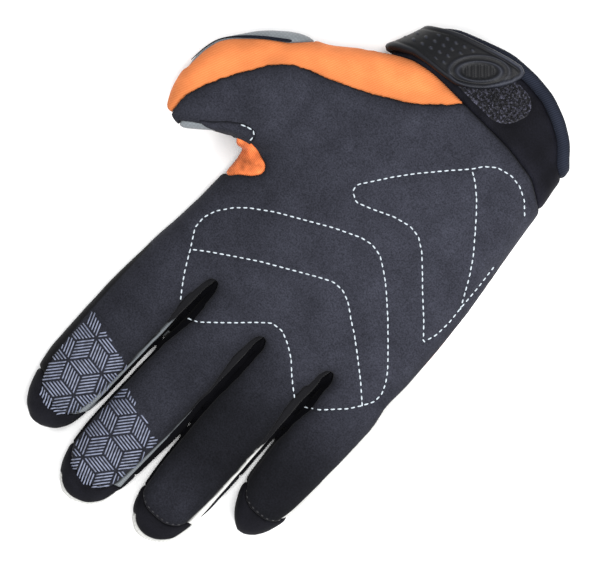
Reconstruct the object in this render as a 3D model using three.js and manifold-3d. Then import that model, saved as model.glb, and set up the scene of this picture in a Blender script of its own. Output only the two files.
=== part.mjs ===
// Motocross glove for the right hand, lying on its back with the palm up.
// Millimetres, +Z up, +Y toward the fingertips, +X toward the thumb.
// The origin is on the flat of the back, under the middle of the palm.
import * as THREE from "three";
import { mergeVertices } from "three/addons/utils/BufferGeometryUtils.js";
import Module from "manifold-3d";

const wasm = await Module();
wasm.setup();

// Hand sizes
const PALM_WIDTH = 109;
const HAND_LENGTH = 146;
const HAND_HEIGHT = 31;
const THUMB_LENGTH = 75;
const THUMB_WIDTH = 47;
const THUMB_HEIGHT = 29;
const PINKY_LENGTH = 63.5;
const PINKY_WIDTH = 25.5;
const PINKY_HEIGHT = 20;
const RING_LENGTH = 82.3;
const RING_WIDTH = 28;
const RING_HEIGHT = 20.5;
const MIDDLE_LENGTH = 91.5;
const MIDDLE_WIDTH = 28.5;
const MIDDLE_HEIGHT = 21;
const INDEX_LENGTH = 83.4;
const INDEX_WIDTH = 27.5;
const INDEX_HEIGHT = 20.5;

// Material thicknesses, clearances and the widths of narrow pieces
const WALL = 2;
const SEAM_GAP = 0.3;
const BINDING_WIDTH = 5;
const BINDING_SWELL = 0.7;
const LOOP_THICKNESS = 1;
const STRAP_THICKNESS = 2.5;
const PRINT_THICKNESS = 0.6;
const THUMB_PATCH_THICKNESS = 1;
const PIPING_WIDTH = 1.6;
const PIPING_THICKNESS = 1.4;
const TIP_CAP_LENGTH = 8;
const PALE_STRIP_WIDTH = 2.6;
const DARK_STRIP_WIDTH = 1.8;
const REST_FLAT = 3;

// The wrist stands clear of the floor by what the strap needs under it
const STRAP_STANDOFF = SEAM_GAP + LOOP_THICKNESS + SEAM_GAP;
const WRIST_LIFT = STRAP_STANDOFF + STRAP_THICKNESS;
const REACH = 4 * HAND_LENGTH;

// Hand sections: along in hand lengths from the mouth, sides in palm widths
// from the middle line, top in hand heights, lift in wrist lifts
const HAND_ROWS = [
  { along: -0.09, ulnar: 0.295, radial: 0.305, top: 0.90, lift: 1 },
  { along: -0.024, ulnar: 0.308, radial: 0.317, top: 0.93, lift: 1 },
  { along: 0.099, ulnar: 0.328, radial: 0.335, top: 0.97, lift: 1 },
  { along: 0.182, ulnar: 0.347, radial: 0.370, top: 1.0, lift: 1 },
  { along: 0.236, ulnar: 0.366, radial: 0.388, top: 1.0, lift: 1 },
  { along: 0.305, ulnar: 0.381, radial: 0.455, top: 1.0, lift: 0.5 },
  { along: 0.387, ulnar: 0.402, radial: 0.499, top: 0.98, lift: 0 },
  { along: 0.497, ulnar: 0.430, radial: 0.512, top: 0.96, lift: 0 },
  { along: 0.606, ulnar: 0.452, radial: 0.512, top: 0.92, lift: 0 },
  { along: 0.716, ulnar: 0.470, radial: 0.506, top: 0.88, lift: 0 },
  { along: 0.818, ulnar: 0.490, radial: 0.502, top: 0.83, lift: 0 },
  { along: 0.908, ulnar: 0.507, radial: 0.500, top: 0.75, lift: 0 },
  { along: 1.03, ulnar: 0.512, radial: 0.499, top: 0.63, lift: 0 },
];

// Finger sections: along in finger lengths from the root, sides in finger
// widths from the axis, low and top in finger heights
const FINGERS = {
  pinky: {
    length: PINKY_LENGTH, width: PINKY_WIDTH, height: PINKY_HEIGHT,
    across: -0.391, along: 0.955, lean: 5,
    rows: [
      { along: -0.4, left: 0.38, right: 0.46, low: 0.06, top: 0.95 },
      { along: 0, left: 0.518, right: 0.505, low: 0, top: 1.0 },
      { along: 0.3, left: 0.502, right: 0.523, low: 0, top: 0.98 },
      { along: 0.5, left: 0.477, right: 0.495, low: 0, top: 0.96 },
      { along: 0.7, left: 0.439, right: 0.464, low: 0, top: 0.92 },
      { along: 0.82, left: 0.381, right: 0.411, low: 0.02, top: 0.87 },
      { along: 0.91, left: 0.285, right: 0.300, low: 0.08, top: 0.79 },
      { along: 0.965, left: 0.175, right: 0.190, low: 0.17, top: 0.69 },
      { along: 1.0, left: 0.045, right: 0.05, low: 0.33, top: 0.53 },
    ],
  },
  ring: {
    length: RING_LENGTH, width: RING_WIDTH, height: RING_HEIGHT,
    across: -0.134, along: 1.024, lean: 4.9,
    rows: [
      { along: -0.4, left: 0.48, right: 0.44, low: 0.06, top: 0.95 },
      { along: 0, left: 0.534, right: 0.473, low: 0, top: 1.0 },
      { along: 0.3, left: 0.533, right: 0.461, low: 0, top: 0.98 },
      { along: 0.5, left: 0.535, right: 0.432, low: 0, top: 0.96 },
      { along: 0.7, left: 0.513, right: 0.410, low: 0, top: 0.93 },
      { along: 0.82, left: 0.481, right: 0.372, low: 0.02, top: 0.89 },
      { along: 0.91, left: 0.415, right: 0.300, low: 0.08, top: 0.82 },
      { along: 0.965, left: 0.270, right: 0.185, low: 0.17, top: 0.71 },
      { along: 1.0, left: 0.07, right: 0.05, low: 0.33, top: 0.53 },
    ],
  },
  middle: {
    length: MIDDLE_LENGTH, width: MIDDLE_WIDTH, height: MIDDLE_HEIGHT,
    across: 0.113, along: 1.024, lean: 1.9,
    rows: [
      { along: -0.4, left: 0.46, right: 0.46, low: 0.06, top: 0.95 },
      { along: 0, left: 0.491, right: 0.491, low: 0, top: 1.0 },
      { along: 0.3, left: 0.519, right: 0.471, low: 0, top: 0.98 },
      { along: 0.5, left: 0.542, right: 0.458, low: 0, top: 0.97 },
      { along: 0.7, left: 0.514, right: 0.442, low: 0, top: 0.94 },
      { along: 0.82, left: 0.493, right: 0.408, low: 0.02, top: 0.90 },
      { along: 0.91, left: 0.430, right: 0.315, low: 0.08, top: 0.83 },
      { along: 0.965, left: 0.300, right: 0.200, low: 0.17, top: 0.72 },
      { along: 1.0, left: 0.08, right: 0.05, low: 0.33, top: 0.53 },
    ],
  },
  index: {
    length: INDEX_LENGTH, width: INDEX_WIDTH, height: INDEX_HEIGHT,
    across: 0.378, along: 1.003, lean: 3.3,
    rows: [
      { along: -0.4, left: 0.46, right: 0.36, low: 0.06, top: 0.95 },
      { along: 0, left: 0.503, right: 0.487, low: 0, top: 1.0 },
      { along: 0.3, left: 0.498, right: 0.519, low: 0, top: 0.98 },
      { along: 0.5, left: 0.491, right: 0.520, low: 0, top: 0.97 },
      { along: 0.7, left: 0.471, right: 0.503, low: 0, top: 0.94 },
      { along: 0.82, left: 0.427, right: 0.440, low: 0.02, top: 0.90 },
      { along: 0.91, left: 0.355, right: 0.345, low: 0.08, top: 0.83 },
      { along: 0.965, left: 0.245, right: 0.230, low: 0.17, top: 0.72 },
      { along: 1.0, left: 0.06, right: 0.06, low: 0.33, top: 0.53 },
    ],
  },
};

// Thumb sections: aside and forward of the thumb root in thumb lengths, sides in
// thumb widths, middle and half in thumb heights
const THUMB_ROOT = { across: 0.297, along: 0.373 };
const THUMB_ROWS = [
  { aside: 0.0, forward: 0.0, outer: 0.426, inner: 0.468, middle: 0.48, half: 0.48 },
  { aside: 0.187, forward: 0.133, outer: 0.457, inner: 0.511, middle: 0.50, half: 0.50 },
  { aside: 0.347, forward: 0.247, outer: 0.525, inner: 0.511, middle: 0.53, half: 0.50 },
  { aside: 0.480, forward: 0.353, outer: 0.495, inner: 0.447, middle: 0.58, half: 0.47 },
  { aside: 0.600, forward: 0.460, outer: 0.420, inner: 0.372, middle: 0.64, half: 0.42 },
  { aside: 0.651, forward: 0.580, outer: 0.289, inner: 0.264, middle: 0.70, half: 0.37 },
  { aside: 0.677, forward: 0.680, outer: 0.191, inner: 0.166, middle: 0.75, half: 0.29 },
  { aside: 0.688, forward: 0.747, outer: 0.085, inner: 0.085, middle: 0.78, half: 0.15 },
];

// Seam lines seen from above: across in palm widths, along in hand lengths
const MOUTH_LINE = [
  { across: -0.42, along: 0.117 },
  { across: -0.327, along: 0.099 },
  { across: -0.254, along: 0.051 },
  { across: -0.134, along: 0.007 },
  { across: -0.024, along: 0.000 },
  { across: 0.095, along: 0.006 },
  { across: 0.187, along: 0.031 },
  { across: 0.297, along: 0.062 },
  { across: 0.370, along: 0.106 },
  { across: 0.444, along: 0.168 },
];
const WRIST_LINE = [
  { across: -0.419, along: 0.257 },
  { across: -0.350, along: 0.229 },
  { across: -0.272, along: 0.197 },
  { across: -0.134, along: 0.187 },
  { across: 0.095, along: 0.190 },
  { across: 0.242, along: 0.191 },
  { across: 0.333, along: 0.203 },
  { across: 0.416, along: 0.236 },
  { across: 0.499, along: 0.262 },
];
const WEB_LINE = [
  { across: -0.60, along: 0.915 },
  { across: -0.272, along: 0.942 },
  { across: -0.144, along: 0.99 },
  { across: -0.015, along: 1.008 },
  { across: 0.113, along: 1.003 },
  { across: 0.246, along: 0.995 },
  { across: 0.389, along: 0.983 },
  { across: 0.56, along: 0.955 },
];
const ORANGE_LINE = [
  { across: 0.072, along: 0.175 },
  { across: 0.095, along: 0.192 },
  { across: 0.141, along: 0.236 },
  { across: 0.233, along: 0.298 },
  { across: 0.370, along: 0.360 },
  { across: 0.508, along: 0.411 },
  { across: 0.590, along: 0.435 },
  { across: 0.664, along: 0.490 },
  { across: 0.719, along: 0.565 },
  { across: 0.755, along: 0.627 },
  { across: 0.778, along: 0.675 },
  { across: 0.792, along: 0.723 },
  { across: 0.770, along: 0.80 },
];
const GUSSET_OUTLINE = [
  { across: 0.492, along: 0.768 },
  { across: 0.416, along: 0.716 },
  { across: 0.402, along: 0.692 },
  { across: 0.421, along: 0.672 },
  { across: 0.462, along: 0.666 },
  { across: 0.526, along: 0.669 },
  { across: 0.540, along: 0.69 },
  { across: 0.540, along: 0.768 },
];

// Lines on the thumb seen from above: aside and forward of its root in thumb lengths
const PIPING_LINE = [
  { aside: 0.440, forward: -0.041 },
  { aside: 0.546, forward: 0.062 },
  { aside: 0.639, forward: 0.130 },
  { aside: 0.706, forward: 0.195 },
  { aside: 0.773, forward: 0.261 },
  { aside: 0.807, forward: 0.317 },
  { aside: 0.821, forward: 0.403 },
  { aside: 0.824, forward: 0.520 },
];
const THUMB_UNDER_LINE = [
  { aside: 0.371, forward: 0.582 },
  { aside: 0.440, forward: 0.613 },
  { aside: 0.506, forward: 0.648 },
  { aside: 0.571, forward: 0.683 },
  { aside: 0.637, forward: 0.738 },
];
const THUMB_PATCH_OUTLINE = [
  { aside: 0.307, forward: 0.539 },
  { aside: 0.312, forward: 0.500 },
  { aside: 0.346, forward: 0.477 },
  { aside: 0.404, forward: 0.485 },
  { aside: 0.462, forward: 0.529 },
  { aside: 0.520, forward: 0.598 },
  { aside: 0.498, forward: 0.625 },
  { aside: 0.426, forward: 0.590 },
  { aside: 0.360, forward: 0.559 },
];

// Closure seen from above: across in palm widths, along in hand lengths
const LOOP_OUTLINE = [
  { across: -0.096, along: 0.095 },
  { across: -0.080, along: 0.137 },
  { across: -0.024, along: 0.164 },
  { across: 0.187, along: 0.166 },
  { across: 0.290, along: 0.172 },
  { across: 0.300, along: 0.140 },
  { across: 0.270, along: 0.110 },
  { across: 0.187, along: 0.082 },
  { across: 0.095, along: 0.060 },
  { across: -0.045, along: 0.055 },
  { across: -0.085, along: 0.067 },
];
const STRAP_TAB_OUTLINE = [
  { across: 0.560, along: 0.275 },
  { across: 0.425, along: 0.231 },
  { across: 0.333, along: 0.194 },
  { across: 0.233, along: 0.182 },
  { across: 0.150, along: 0.172 },
  { across: 0.115, along: 0.152 },
  { across: 0.077, along: 0.127 },
  { across: 0.043, along: 0.095 },
  { across: 0.020, along: 0.060 },
  { across: 0.013, along: 0.036 },
  { across: 0.018, along: 0.020 },
  { across: 0.040, along: 0.013 },
  { across: 0.095, along: 0.024 },
  { across: 0.187, along: 0.040 },
  { across: 0.278, along: 0.065 },
  { across: 0.352, along: 0.106 },
  { across: 0.407, along: 0.140 },
  { across: 0.560, along: 0.180 },
];
const STRAP_ANCHOR_OUTLINE = [
  { across: 0.560, along: 0.275 },
  { across: 0.425, along: 0.231 },
  { across: 0.333, along: 0.205 },
  { across: 0.160, along: 0.200 },
  { across: 0.130, along: 0.185 },
  { across: 0.130, along: 0.085 },
  { across: 0.160, along: 0.070 },
  { across: 0.278, along: 0.078 },
  { across: 0.352, along: 0.106 },
  { across: 0.407, along: 0.140 },
  { across: 0.560, along: 0.180 },
];

// Height of the seam between front and back, in hand heights, across the hand
const BACK_SEAM = [
  { across: -0.9, height: 0.36 },
  { across: -0.45, height: 0.36 },
  { across: -0.2, height: 0.26 },
  { across: 0.4, height: 0.22 },
  { across: 0.62, height: 0.30 },
  { across: 1.2, height: 0.42 },
];

// Lines halfway between neighbouring fingers, from the web to past the tips
const FINGER_GAPS = {
  pinky_ring: [
    { across: -0.268, along: 0.935 }, { across: -0.290, along: 1.16 }, { across: -0.33, along: 1.5 },
  ],
  ring_middle: [
    { across: -0.015, along: 1.0 }, { across: -0.025, along: 1.16 }, { across: -0.06, along: 1.7 },
  ],
  middle_index: [
    { across: 0.248, along: 0.986 }, { across: 0.240, along: 1.16 }, { across: 0.215, along: 1.7 },
  ],
};

// Seam of a fingertip cap: side in finger widths, back in cap lengths
const CAP_SEAM = [
  { side: -0.54, back: 0.88 }, { side: -0.44, back: 0.88 },
  { side: -0.38, back: 0.45 }, { side: -0.30, back: 0.20 },
  { side: -0.18, back: 0.05 }, { side: 0.10, back: 0.05 },
  { side: 0.22, back: 0.20 }, { side: 0.30, back: 0.45 },
  { side: 0.36, back: 0.88 }, { side: 0.54, back: 0.88 },
];

// Grip prints: along in finger lengths, sides in finger widths from the axis
const PRINT_INDEX = [
  { side: -0.42, along: 0.53 }, { side: 0.44, along: 0.455 },
  { side: 0.42, along: 0.72 }, { side: 0.32, along: 0.86 },
  { side: 0.10, along: 0.925 }, { side: -0.12, along: 0.925 },
  { side: -0.32, along: 0.86 }, { side: -0.42, along: 0.70 },
];
const PRINT_MIDDLE = [
  { side: -0.44, along: 0.57 }, { side: 0.38, along: 0.50 },
  { side: 0.36, along: 0.74 }, { side: 0.28, along: 0.85 },
  { side: 0.06, along: 0.925 }, { side: -0.16, along: 0.925 },
  { side: -0.36, along: 0.86 }, { side: -0.45, along: 0.74 },
];

// Roundness of the sections
const HAND_SIDES = 36;
const FINGER_SIDES = 16;
const THUMB_SIDES = 20;
const SQUARENESS = 2.5;

// Point on the plan from shares of the palm
const plan = ({ across, along }) =>
  new THREE.Vector2(across * PALM_WIDTH, (along - 0.5) * HAND_LENGTH);

// Point on the plan from shares of the thumb
const thumbPlan = ({ aside, forward }) =>
  plan(THUMB_ROOT).add(new THREE.Vector2(aside, forward).multiplyScalar(THUMB_LENGTH));

// Closed solid from a three.js geometry
function solid(geometry) {
  geometry.deleteAttribute("normal");
  geometry.deleteAttribute("uv");
  const merged = mergeVertices(geometry, 1e-4);
  return new wasm.Manifold(new wasm.Mesh({
    numProp: 3,
    vertProperties: new Float32Array(merged.attributes.position.array),
    triVerts: new Uint32Array(merged.index.array),
  }));
}

// Closed tube through rings of points, with a flat cap on each end
function loft(rings) {
  const count = rings[0].length;
  const points = rings.flat();
  const faces = [];
  const cap = (ring, first, flip) => {
    const middle = new THREE.Vector3();
    ring.forEach((p) => middle.addScaledVector(p, 1 / count));
    const c = points.push(middle) - 1;
    for (let i = 0; i < count; i++) {
      const a = first + i, b = first + (i + 1) % count;
      faces.push(...(flip ? [c, b, a] : [c, a, b]));
    }
  };
  for (let r = 0; r + 1 < rings.length; r++)
    for (let i = 0; i < count; i++) {
      const a = r * count + i, b = r * count + (i + 1) % count;
      faces.push(a, b, b + count, a, b + count, a + count);
    }
  cap(rings[0], 0, true);
  cap(rings[rings.length - 1], (rings.length - 1) * count, false);
  return solid(new THREE.BufferGeometry().setFromPoints(points).setIndex(faces));
}

// Rounded section between two sides and two heights, flattened where it rests
function section(place, sides, left, right, low, top, flat) {
  const middle = (right - left) / 2, half = (right + left) / 2;
  const centre = (top + low - flat) / 2, rise = (top - low + flat) / 2;
  const round = (v) => Math.sign(v) * Math.abs(v) ** (2 / SQUARENESS);
  return Array.from({ length: sides }, (_, i) => {
    const turn = (2 * Math.PI * (i + 0.5)) / sides;
    const z = centre + rise * round(Math.sin(turn));
    return place(middle + half * round(Math.cos(turn)), Math.max(low, z));
  });
}

// Upright solid over an outline seen from above
function prism(outline, low = -REACH, high = REACH) {
  const geometry = new THREE.ExtrudeGeometry(new THREE.Shape(outline), {
    depth: high - low, bevelEnabled: false,
  });
  return solid(geometry.translate(0, 0, low));
}

// Line moved sideways to its left by a distance
function moved(line, distance) {
  return line.map((p, i) => {
    const before = line[Math.max(i - 1, 0)], after = line[Math.min(i + 1, line.length - 1)];
    const run = after.clone().sub(before).normalize();
    return p.clone().add(new THREE.Vector2(-run.y, run.x).multiplyScalar(distance));
  });
}

// Outline grown outward by a distance
function grown(outline, distance) {
  const turn = THREE.ShapeUtils.isClockWise(outline) ? 1 : -1;
  const n = outline.length;
  return outline.map((p, i) => {
    const run = outline[(i + 1) % n].clone().sub(outline[(i + n - 1) % n]).normalize();
    return p.clone().add(new THREE.Vector2(-run.y, run.x).multiplyScalar(turn * distance));
  });
}

// Everything on the finger side of a line that crosses the hand
function beyond(line, distance = 0) {
  const edge = moved(line, distance);
  const first = edge[0], last = edge[edge.length - 1];
  return prism([
    new THREE.Vector2(-REACH, first.y), ...edge, new THREE.Vector2(REACH, last.y),
    new THREE.Vector2(REACH, REACH), new THREE.Vector2(-REACH, REACH),
  ]);
}

// Hand tube, cut off at the finger webs
function handTube(grow) {
  const rings = HAND_ROWS.map((row) => {
    const y = (row.along - 0.5) * HAND_LENGTH;
    return section(
      (x, z) => new THREE.Vector3(x, y, z), HAND_SIDES,
      row.ulnar * PALM_WIDTH + grow, row.radial * PALM_WIDTH + grow,
      row.lift * WRIST_LIFT - grow, row.top * HAND_HEIGHT + grow, REST_FLAT,
    ).reverse();
  });
  return loft(rings).subtract(beyond(WEB_LINE.map(plan), grow));
}

// Plan position in a finger's own frame
function fingerPlace(finger, side, along) {
  const root = plan(finger), lean = THREE.MathUtils.degToRad(finger.lean);
  return new THREE.Vector2(
    root.x + side * Math.cos(lean) - along * Math.sin(lean),
    root.y + side * Math.sin(lean) + along * Math.cos(lean),
  );
}

// Finger tube, longer than the finger by the growth
function fingerTube(finger, grow) {
  const rings = finger.rows.map((row) => {
    const along = row.along * finger.length + Math.max(row.along, 0) ** 4 * grow;
    return section(
      (x, z) => {
        const p = fingerPlace(finger, x, along);
        return new THREE.Vector3(p.x, p.y, z);
      }, FINGER_SIDES,
      Math.max(row.left * finger.width + grow, 0.4), Math.max(row.right * finger.width + grow, 0.4),
      Math.min(row.low * finger.height - grow, 0.43 * finger.height - 0.4),
      Math.max(row.top * finger.height + grow, 0.43 * finger.height + 0.4), REST_FLAT * 0.6,
    ).reverse();
  });
  return loft(rings);
}

// Thumb tube along its own bent axis
function thumbTube(grow) {
  const axis = THUMB_ROWS.map(thumbPlan);
  const last = axis.length - 1;
  const rings = THUMB_ROWS.map((row, i) => {
    const run = axis[Math.min(i + 1, last)].clone().sub(axis[Math.max(i - 1, 0)]).normalize();
    const spot = axis[i].clone().addScaledVector(run, i === last ? grow : 0);
    const half = Math.max(row.half * THUMB_HEIGHT + grow, 0.6);
    const middle = row.middle * THUMB_HEIGHT;
    return section(
      (x, z) => new THREE.Vector3(spot.x + x * run.y, spot.y - x * run.x, z), THUMB_SIDES,
      Math.max(row.inner * THUMB_WIDTH + grow, 0.6), Math.max(row.outer * THUMB_WIDTH + grow, 0.6),
      Math.max(middle - half, -grow), middle + half, 0,
    ).reverse();
  });
  return loft(rings);
}

// Whole outer form, grown or shrunk by a distance
function form(grow) {
  return Object.values(FINGERS).reduce(
    (whole, finger) => whole.add(fingerTube(finger, grow)), handTube(grow).add(thumbTube(grow)));
}

// Sheet over the outside of the form, between two growths
const sheet = (from, to) => form(to).subtract(form(from));

// Plan line along one side of a finger, inside its edge by a width
function fingerEdge(finger, side, width) {
  const rows = finger.rows.filter((row) => row.along >= 0 && row.along < 0.95);
  return rows.map((row) => fingerPlace(
    finger,
    side === "left" ? width - row.left * finger.width : row.right * finger.width - width,
    row.along * finger.length,
  ));
}

// Solid over the narrow strip between a finger's edge and the neighbour's
function stripPrism(finger, side, gap, width, margin) {
  const inset = fingerEdge(finger, side, width + margin);
  const start = plan(gap[0]);
  const run = plan(gap[1]).sub(start).normalize();
  const down = start.clone().addScaledVector(run, -margin);
  const edge = [inset[0].clone().addScaledVector(run, start.y - margin - inset[0].y), ...inset];
  const off = side === "left" ? -SEAM_GAP / 2 : SEAM_GAP / 2;
  const far = moved([down, plan(gap[1]), plan(gap[2])], side === "left" ? off + margin : off - margin);
  return prism([...edge, ...far.reverse()]);
}

// Slab below the seam between the front and the back
function backSlab(lift) {
  const top = BACK_SEAM.map(({ across, height }) =>
    new THREE.Vector2(across * PALM_WIDTH, height * HAND_HEIGHT + lift));
  const shape = new THREE.Shape([
    new THREE.Vector2(-REACH, -REACH), new THREE.Vector2(REACH, -REACH),
    new THREE.Vector2(REACH, top.at(-1).y), ...top.toReversed(), new THREE.Vector2(-REACH, top[0].y),
  ]);
  const slab = new THREE.ExtrudeGeometry(shape, { depth: 2 * REACH, bevelEnabled: false });
  return solid(slab.translate(0, 0, -REACH).rotateX(Math.PI / 2));
}

// Plan points far away, from shares of the reach
const farAway = (corners) => corners.map(([x, y]) => new THREE.Vector2(x * REACH, y * REACH));

// Region outside a line on the thumb side, closed far away
const outside = (line, distance, corners) => prism([...moved(line, distance), ...farAway(corners)]);

// Everything above a height
const above = (height) => prism(farAway([[-1, -1], [1, -1], [1, 1], [-1, 1]]), height);

// Largest body of a solid
function main(whole) {
  return whole.decompose().reduce((best, body) => (body.volume() > best.volume() ? body : best));
}

const mouth = MOUTH_LINE.map(plan);
const wrist = WRIST_LINE.map(plan);
const walls = form(0).subtract(form(-WALL)).intersect(beyond(mouth));

// Wrist band and the bound edge of the mouth
const cuff = walls.intersect(beyond(mouth, BINDING_WIDTH + SEAM_GAP))
  .subtract(beyond(wrist, -SEAM_GAP / 2));
const binding = form(BINDING_SWELL).subtract(form(-WALL - BINDING_SWELL))
  .intersect(beyond(mouth, -BINDING_SWELL)).subtract(beyond(mouth, BINDING_WIDTH));
const hand = walls.intersect(beyond(wrist, SEAM_GAP / 2));

// Wrapped fingertips, with a seam that runs back along the sides
const capPrism = (finger, margin) => {
  const seam = CAP_SEAM.map(({ side, back }) => fingerPlace(
    finger, side * finger.width, finger.length - TIP_CAP_LENGTH * (1 + back) - margin));
  const side = CAP_SEAM.at(-1).side * finger.width;
  const ahead = finger.length + TIP_CAP_LENGTH;
  return prism([...seam, fingerPlace(finger, side, ahead), fingerPlace(finger, -side, ahead)]);
};
const caps = Object.fromEntries(Object.entries(FINGERS).map(([name, finger]) =>
  [name, hand.intersect(capPrism(finger, 0))]));
const uncapped = Object.values(FINGERS).reduce(
  (rest, finger) => rest.subtract(capPrism(finger, SEAM_GAP)), hand);

// Side strips between the fingers, and the front above the back seam
const { pinky, ring, middle, index } = FINGERS;
const STRIPS = {
  pinky_inner_strip: [pinky, "right", FINGER_GAPS.pinky_ring, DARK_STRIP_WIDTH],
  ring_outer_strip: [ring, "left", FINGER_GAPS.pinky_ring, PALE_STRIP_WIDTH],
  ring_inner_strip: [ring, "right", FINGER_GAPS.ring_middle, DARK_STRIP_WIDTH],
  middle_outer_strip: [middle, "left", FINGER_GAPS.ring_middle, PALE_STRIP_WIDTH],
  middle_inner_strip: [middle, "right", FINGER_GAPS.middle_index, DARK_STRIP_WIDTH],
  index_outer_strip: [index, "left", FINGER_GAPS.middle_index, PALE_STRIP_WIDTH],
};
const corner = { below: [1, -1], ahead: [1, 1] };
const piping = PIPING_LINE.map(thumbPlan);
const thumbUnder = THUMB_UNDER_LINE.map(thumbPlan);
const orangeLine = ORANGE_LINE.map(plan);
const gussetOutline = GUSSET_OUTLINE.map(plan);
const thumbBack = (distance) => outside(piping, distance, [[1, 0.1], corner.below]);
const thumbUnderside = (distance) => {
  const line = moved(thumbUnder, distance);
  const first = line[0], last = line[line.length - 1];
  return prism([...line, new THREE.Vector2(last.x, last.y + TIP_CAP_LENGTH),
    new THREE.Vector2(first.x, first.y + TIP_CAP_LENGTH)]);
};
const upper = uncapped.subtract(backSlab(SEAM_GAP / 2));
const gussetPrism = prism(gussetOutline);
const front = upper.subtract(thumbBack(SEAM_GAP / 2)).subtract(thumbUnderside(-SEAM_GAP / 2));
const strips = Object.fromEntries(Object.entries(STRIPS).map(([name, [finger, side, gap, width]]) =>
  [name, main(upper.intersect(stripPrism(finger, side, gap, width, 0)))]));
const bare = Object.values(STRIPS).reduce((rest, [finger, side, gap, width]) =>
  rest.subtract(stripPrism(finger, side, gap, width, SEAM_GAP)), front);
const orangeSide = (distance) =>
  outside(orangeLine, distance, [[0.25, 0.25], [1, 0.1], corner.below, [0.01, -1]]);
const gusset = main(bare.intersect(gussetPrism));
const ungusseted = bare.subtract(prism(grown(gussetOutline, SEAM_GAP)));
const thumbSide = main(ungusseted.intersect(orangeSide(-SEAM_GAP / 2)));
const palm = main(ungusseted.subtract(orangeSide(SEAM_GAP / 2)));
const lower = uncapped.intersect(backSlab(-SEAM_GAP / 2));
const crescents = uncapped.intersect(thumbBack(-SEAM_GAP / 2).add(thumbUnderside(SEAM_GAP / 2)));
const back = main(lower.add(crescents));

// Pieces laid on the outside
const topHalf = above(HAND_HEIGHT * 0.5);
const printSheet = sheet(SEAM_GAP, SEAM_GAP + PRINT_THICKNESS).intersect(above(INDEX_HEIGHT * 0.5));
const printOn = (finger, table) => main(printSheet.intersect(prism(table.map(({ side, along }) =>
  fingerPlace(finger, side * finger.width, along * finger.length)))));
const printIndex = printOn(index, PRINT_INDEX);
const printMiddle = printOn(middle, PRINT_MIDDLE);
const thumbPatch = main(sheet(SEAM_GAP, SEAM_GAP + THUMB_PATCH_THICKNESS)
  .intersect(prism(THUMB_PATCH_OUTLINE.map(thumbPlan))).intersect(topHalf));
const thumbPiping = main(sheet(SEAM_GAP, SEAM_GAP + PIPING_THICKNESS)
  .intersect(prism([...moved(piping, PIPING_WIDTH / 2), ...moved(piping, -PIPING_WIDTH / 2).reverse()]))
  .subtract(backSlab(SEAM_GAP)));
const loopPatch = main(sheet(SEAM_GAP, SEAM_GAP + LOOP_THICKNESS)
  .intersect(prism(LOOP_OUTLINE.map(plan))).intersect(topHalf));
const strapSheet = sheet(STRAP_STANDOFF, STRAP_STANDOFF + STRAP_THICKNESS);
const strap = main(strapSheet.intersect(prism(STRAP_TAB_OUTLINE.map(plan))).intersect(topHalf)
  .add(strapSheet.intersect(prism(STRAP_ANCHOR_OUTLINE.map(plan))).subtract(topHalf)));

const MATERIALS = {
  suede: { color: "#34353f", roughness: 0.92 },
  stretch: { color: "#ee8a45", roughness: 0.8 },
  gusset: { color: "#e2662a", roughness: 0.8 },
  grey: { color: "#84888c", roughness: 0.85 },
  pale: { color: "#d4d4d2", roughness: 0.85 },
  black: { color: "#1d1e22", roughness: 0.9 },
  rubber: { color: "#25282d", roughness: 0.55 },
  loop: { color: "#2b2b33", roughness: 1 },
  print: { color: "#8f97ad", roughness: 0.6 },
};

const glove = new THREE.Group();
glove.name = "motocross_glove";

// Named mesh with its own material in the glove
function place(name, body, look) {
  const data = body.getMesh();
  const geometry = new THREE.BufferGeometry();
  geometry.setAttribute("position", new THREE.BufferAttribute(new Float32Array(data.vertProperties), 3));
  geometry.setIndex(new THREE.BufferAttribute(new Uint32Array(data.triVerts), 1));
  geometry.computeVertexNormals();
  const material = new THREE.MeshStandardMaterial({ metalness: 0, ...MATERIALS[look] });
  const mesh = new THREE.Mesh(geometry, material);
  mesh.name = name;
  glove.add(mesh);
}

place("palm_panel", palm, "suede");
place("back_panel", back, "pale");
place("thumb_side_panel", thumbSide, "stretch");
place("thumb_gusset", gusset, "gusset");
place("pinky_inner_strip", strips.pinky_inner_strip, "black");
place("ring_outer_strip", strips.ring_outer_strip, "pale");
place("ring_inner_strip", strips.ring_inner_strip, "black");
place("middle_outer_strip", strips.middle_outer_strip, "grey");
place("middle_inner_strip", strips.middle_inner_strip, "black");
place("index_outer_strip", strips.index_outer_strip, "grey");
place("pinky_tip_cap", main(caps.pinky), "black");
place("ring_tip_cap", main(caps.ring), "black");
place("middle_tip_cap", main(caps.middle), "black");
place("index_tip_cap", main(caps.index), "black");
place("thumb_patch", thumbPatch, "suede");
place("thumb_piping", thumbPiping, "black");
place("wrist_cuff", main(cuff), "black");
place("cuff_binding", main(binding), "black");
place("loop_patch", loopPatch, "loop");
place("wrist_strap", strap, "rubber");
place("index_grip_print", printIndex, "print");
place("middle_grip_print", printMiddle, "print");

export default glove;
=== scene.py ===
"""Looks of a right-hand motocross glove that lies palm up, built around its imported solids."""
from functools import lru_cache

import bpy
import numpy as np
from bpy.props import FloatProperty, FloatVectorProperty, IntProperty, PointerProperty
from bpy.types import Operator, Panel, PropertyGroup
from mathutils import Matrix, Vector
from mathutils.bvhtree import BVHTree


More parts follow.
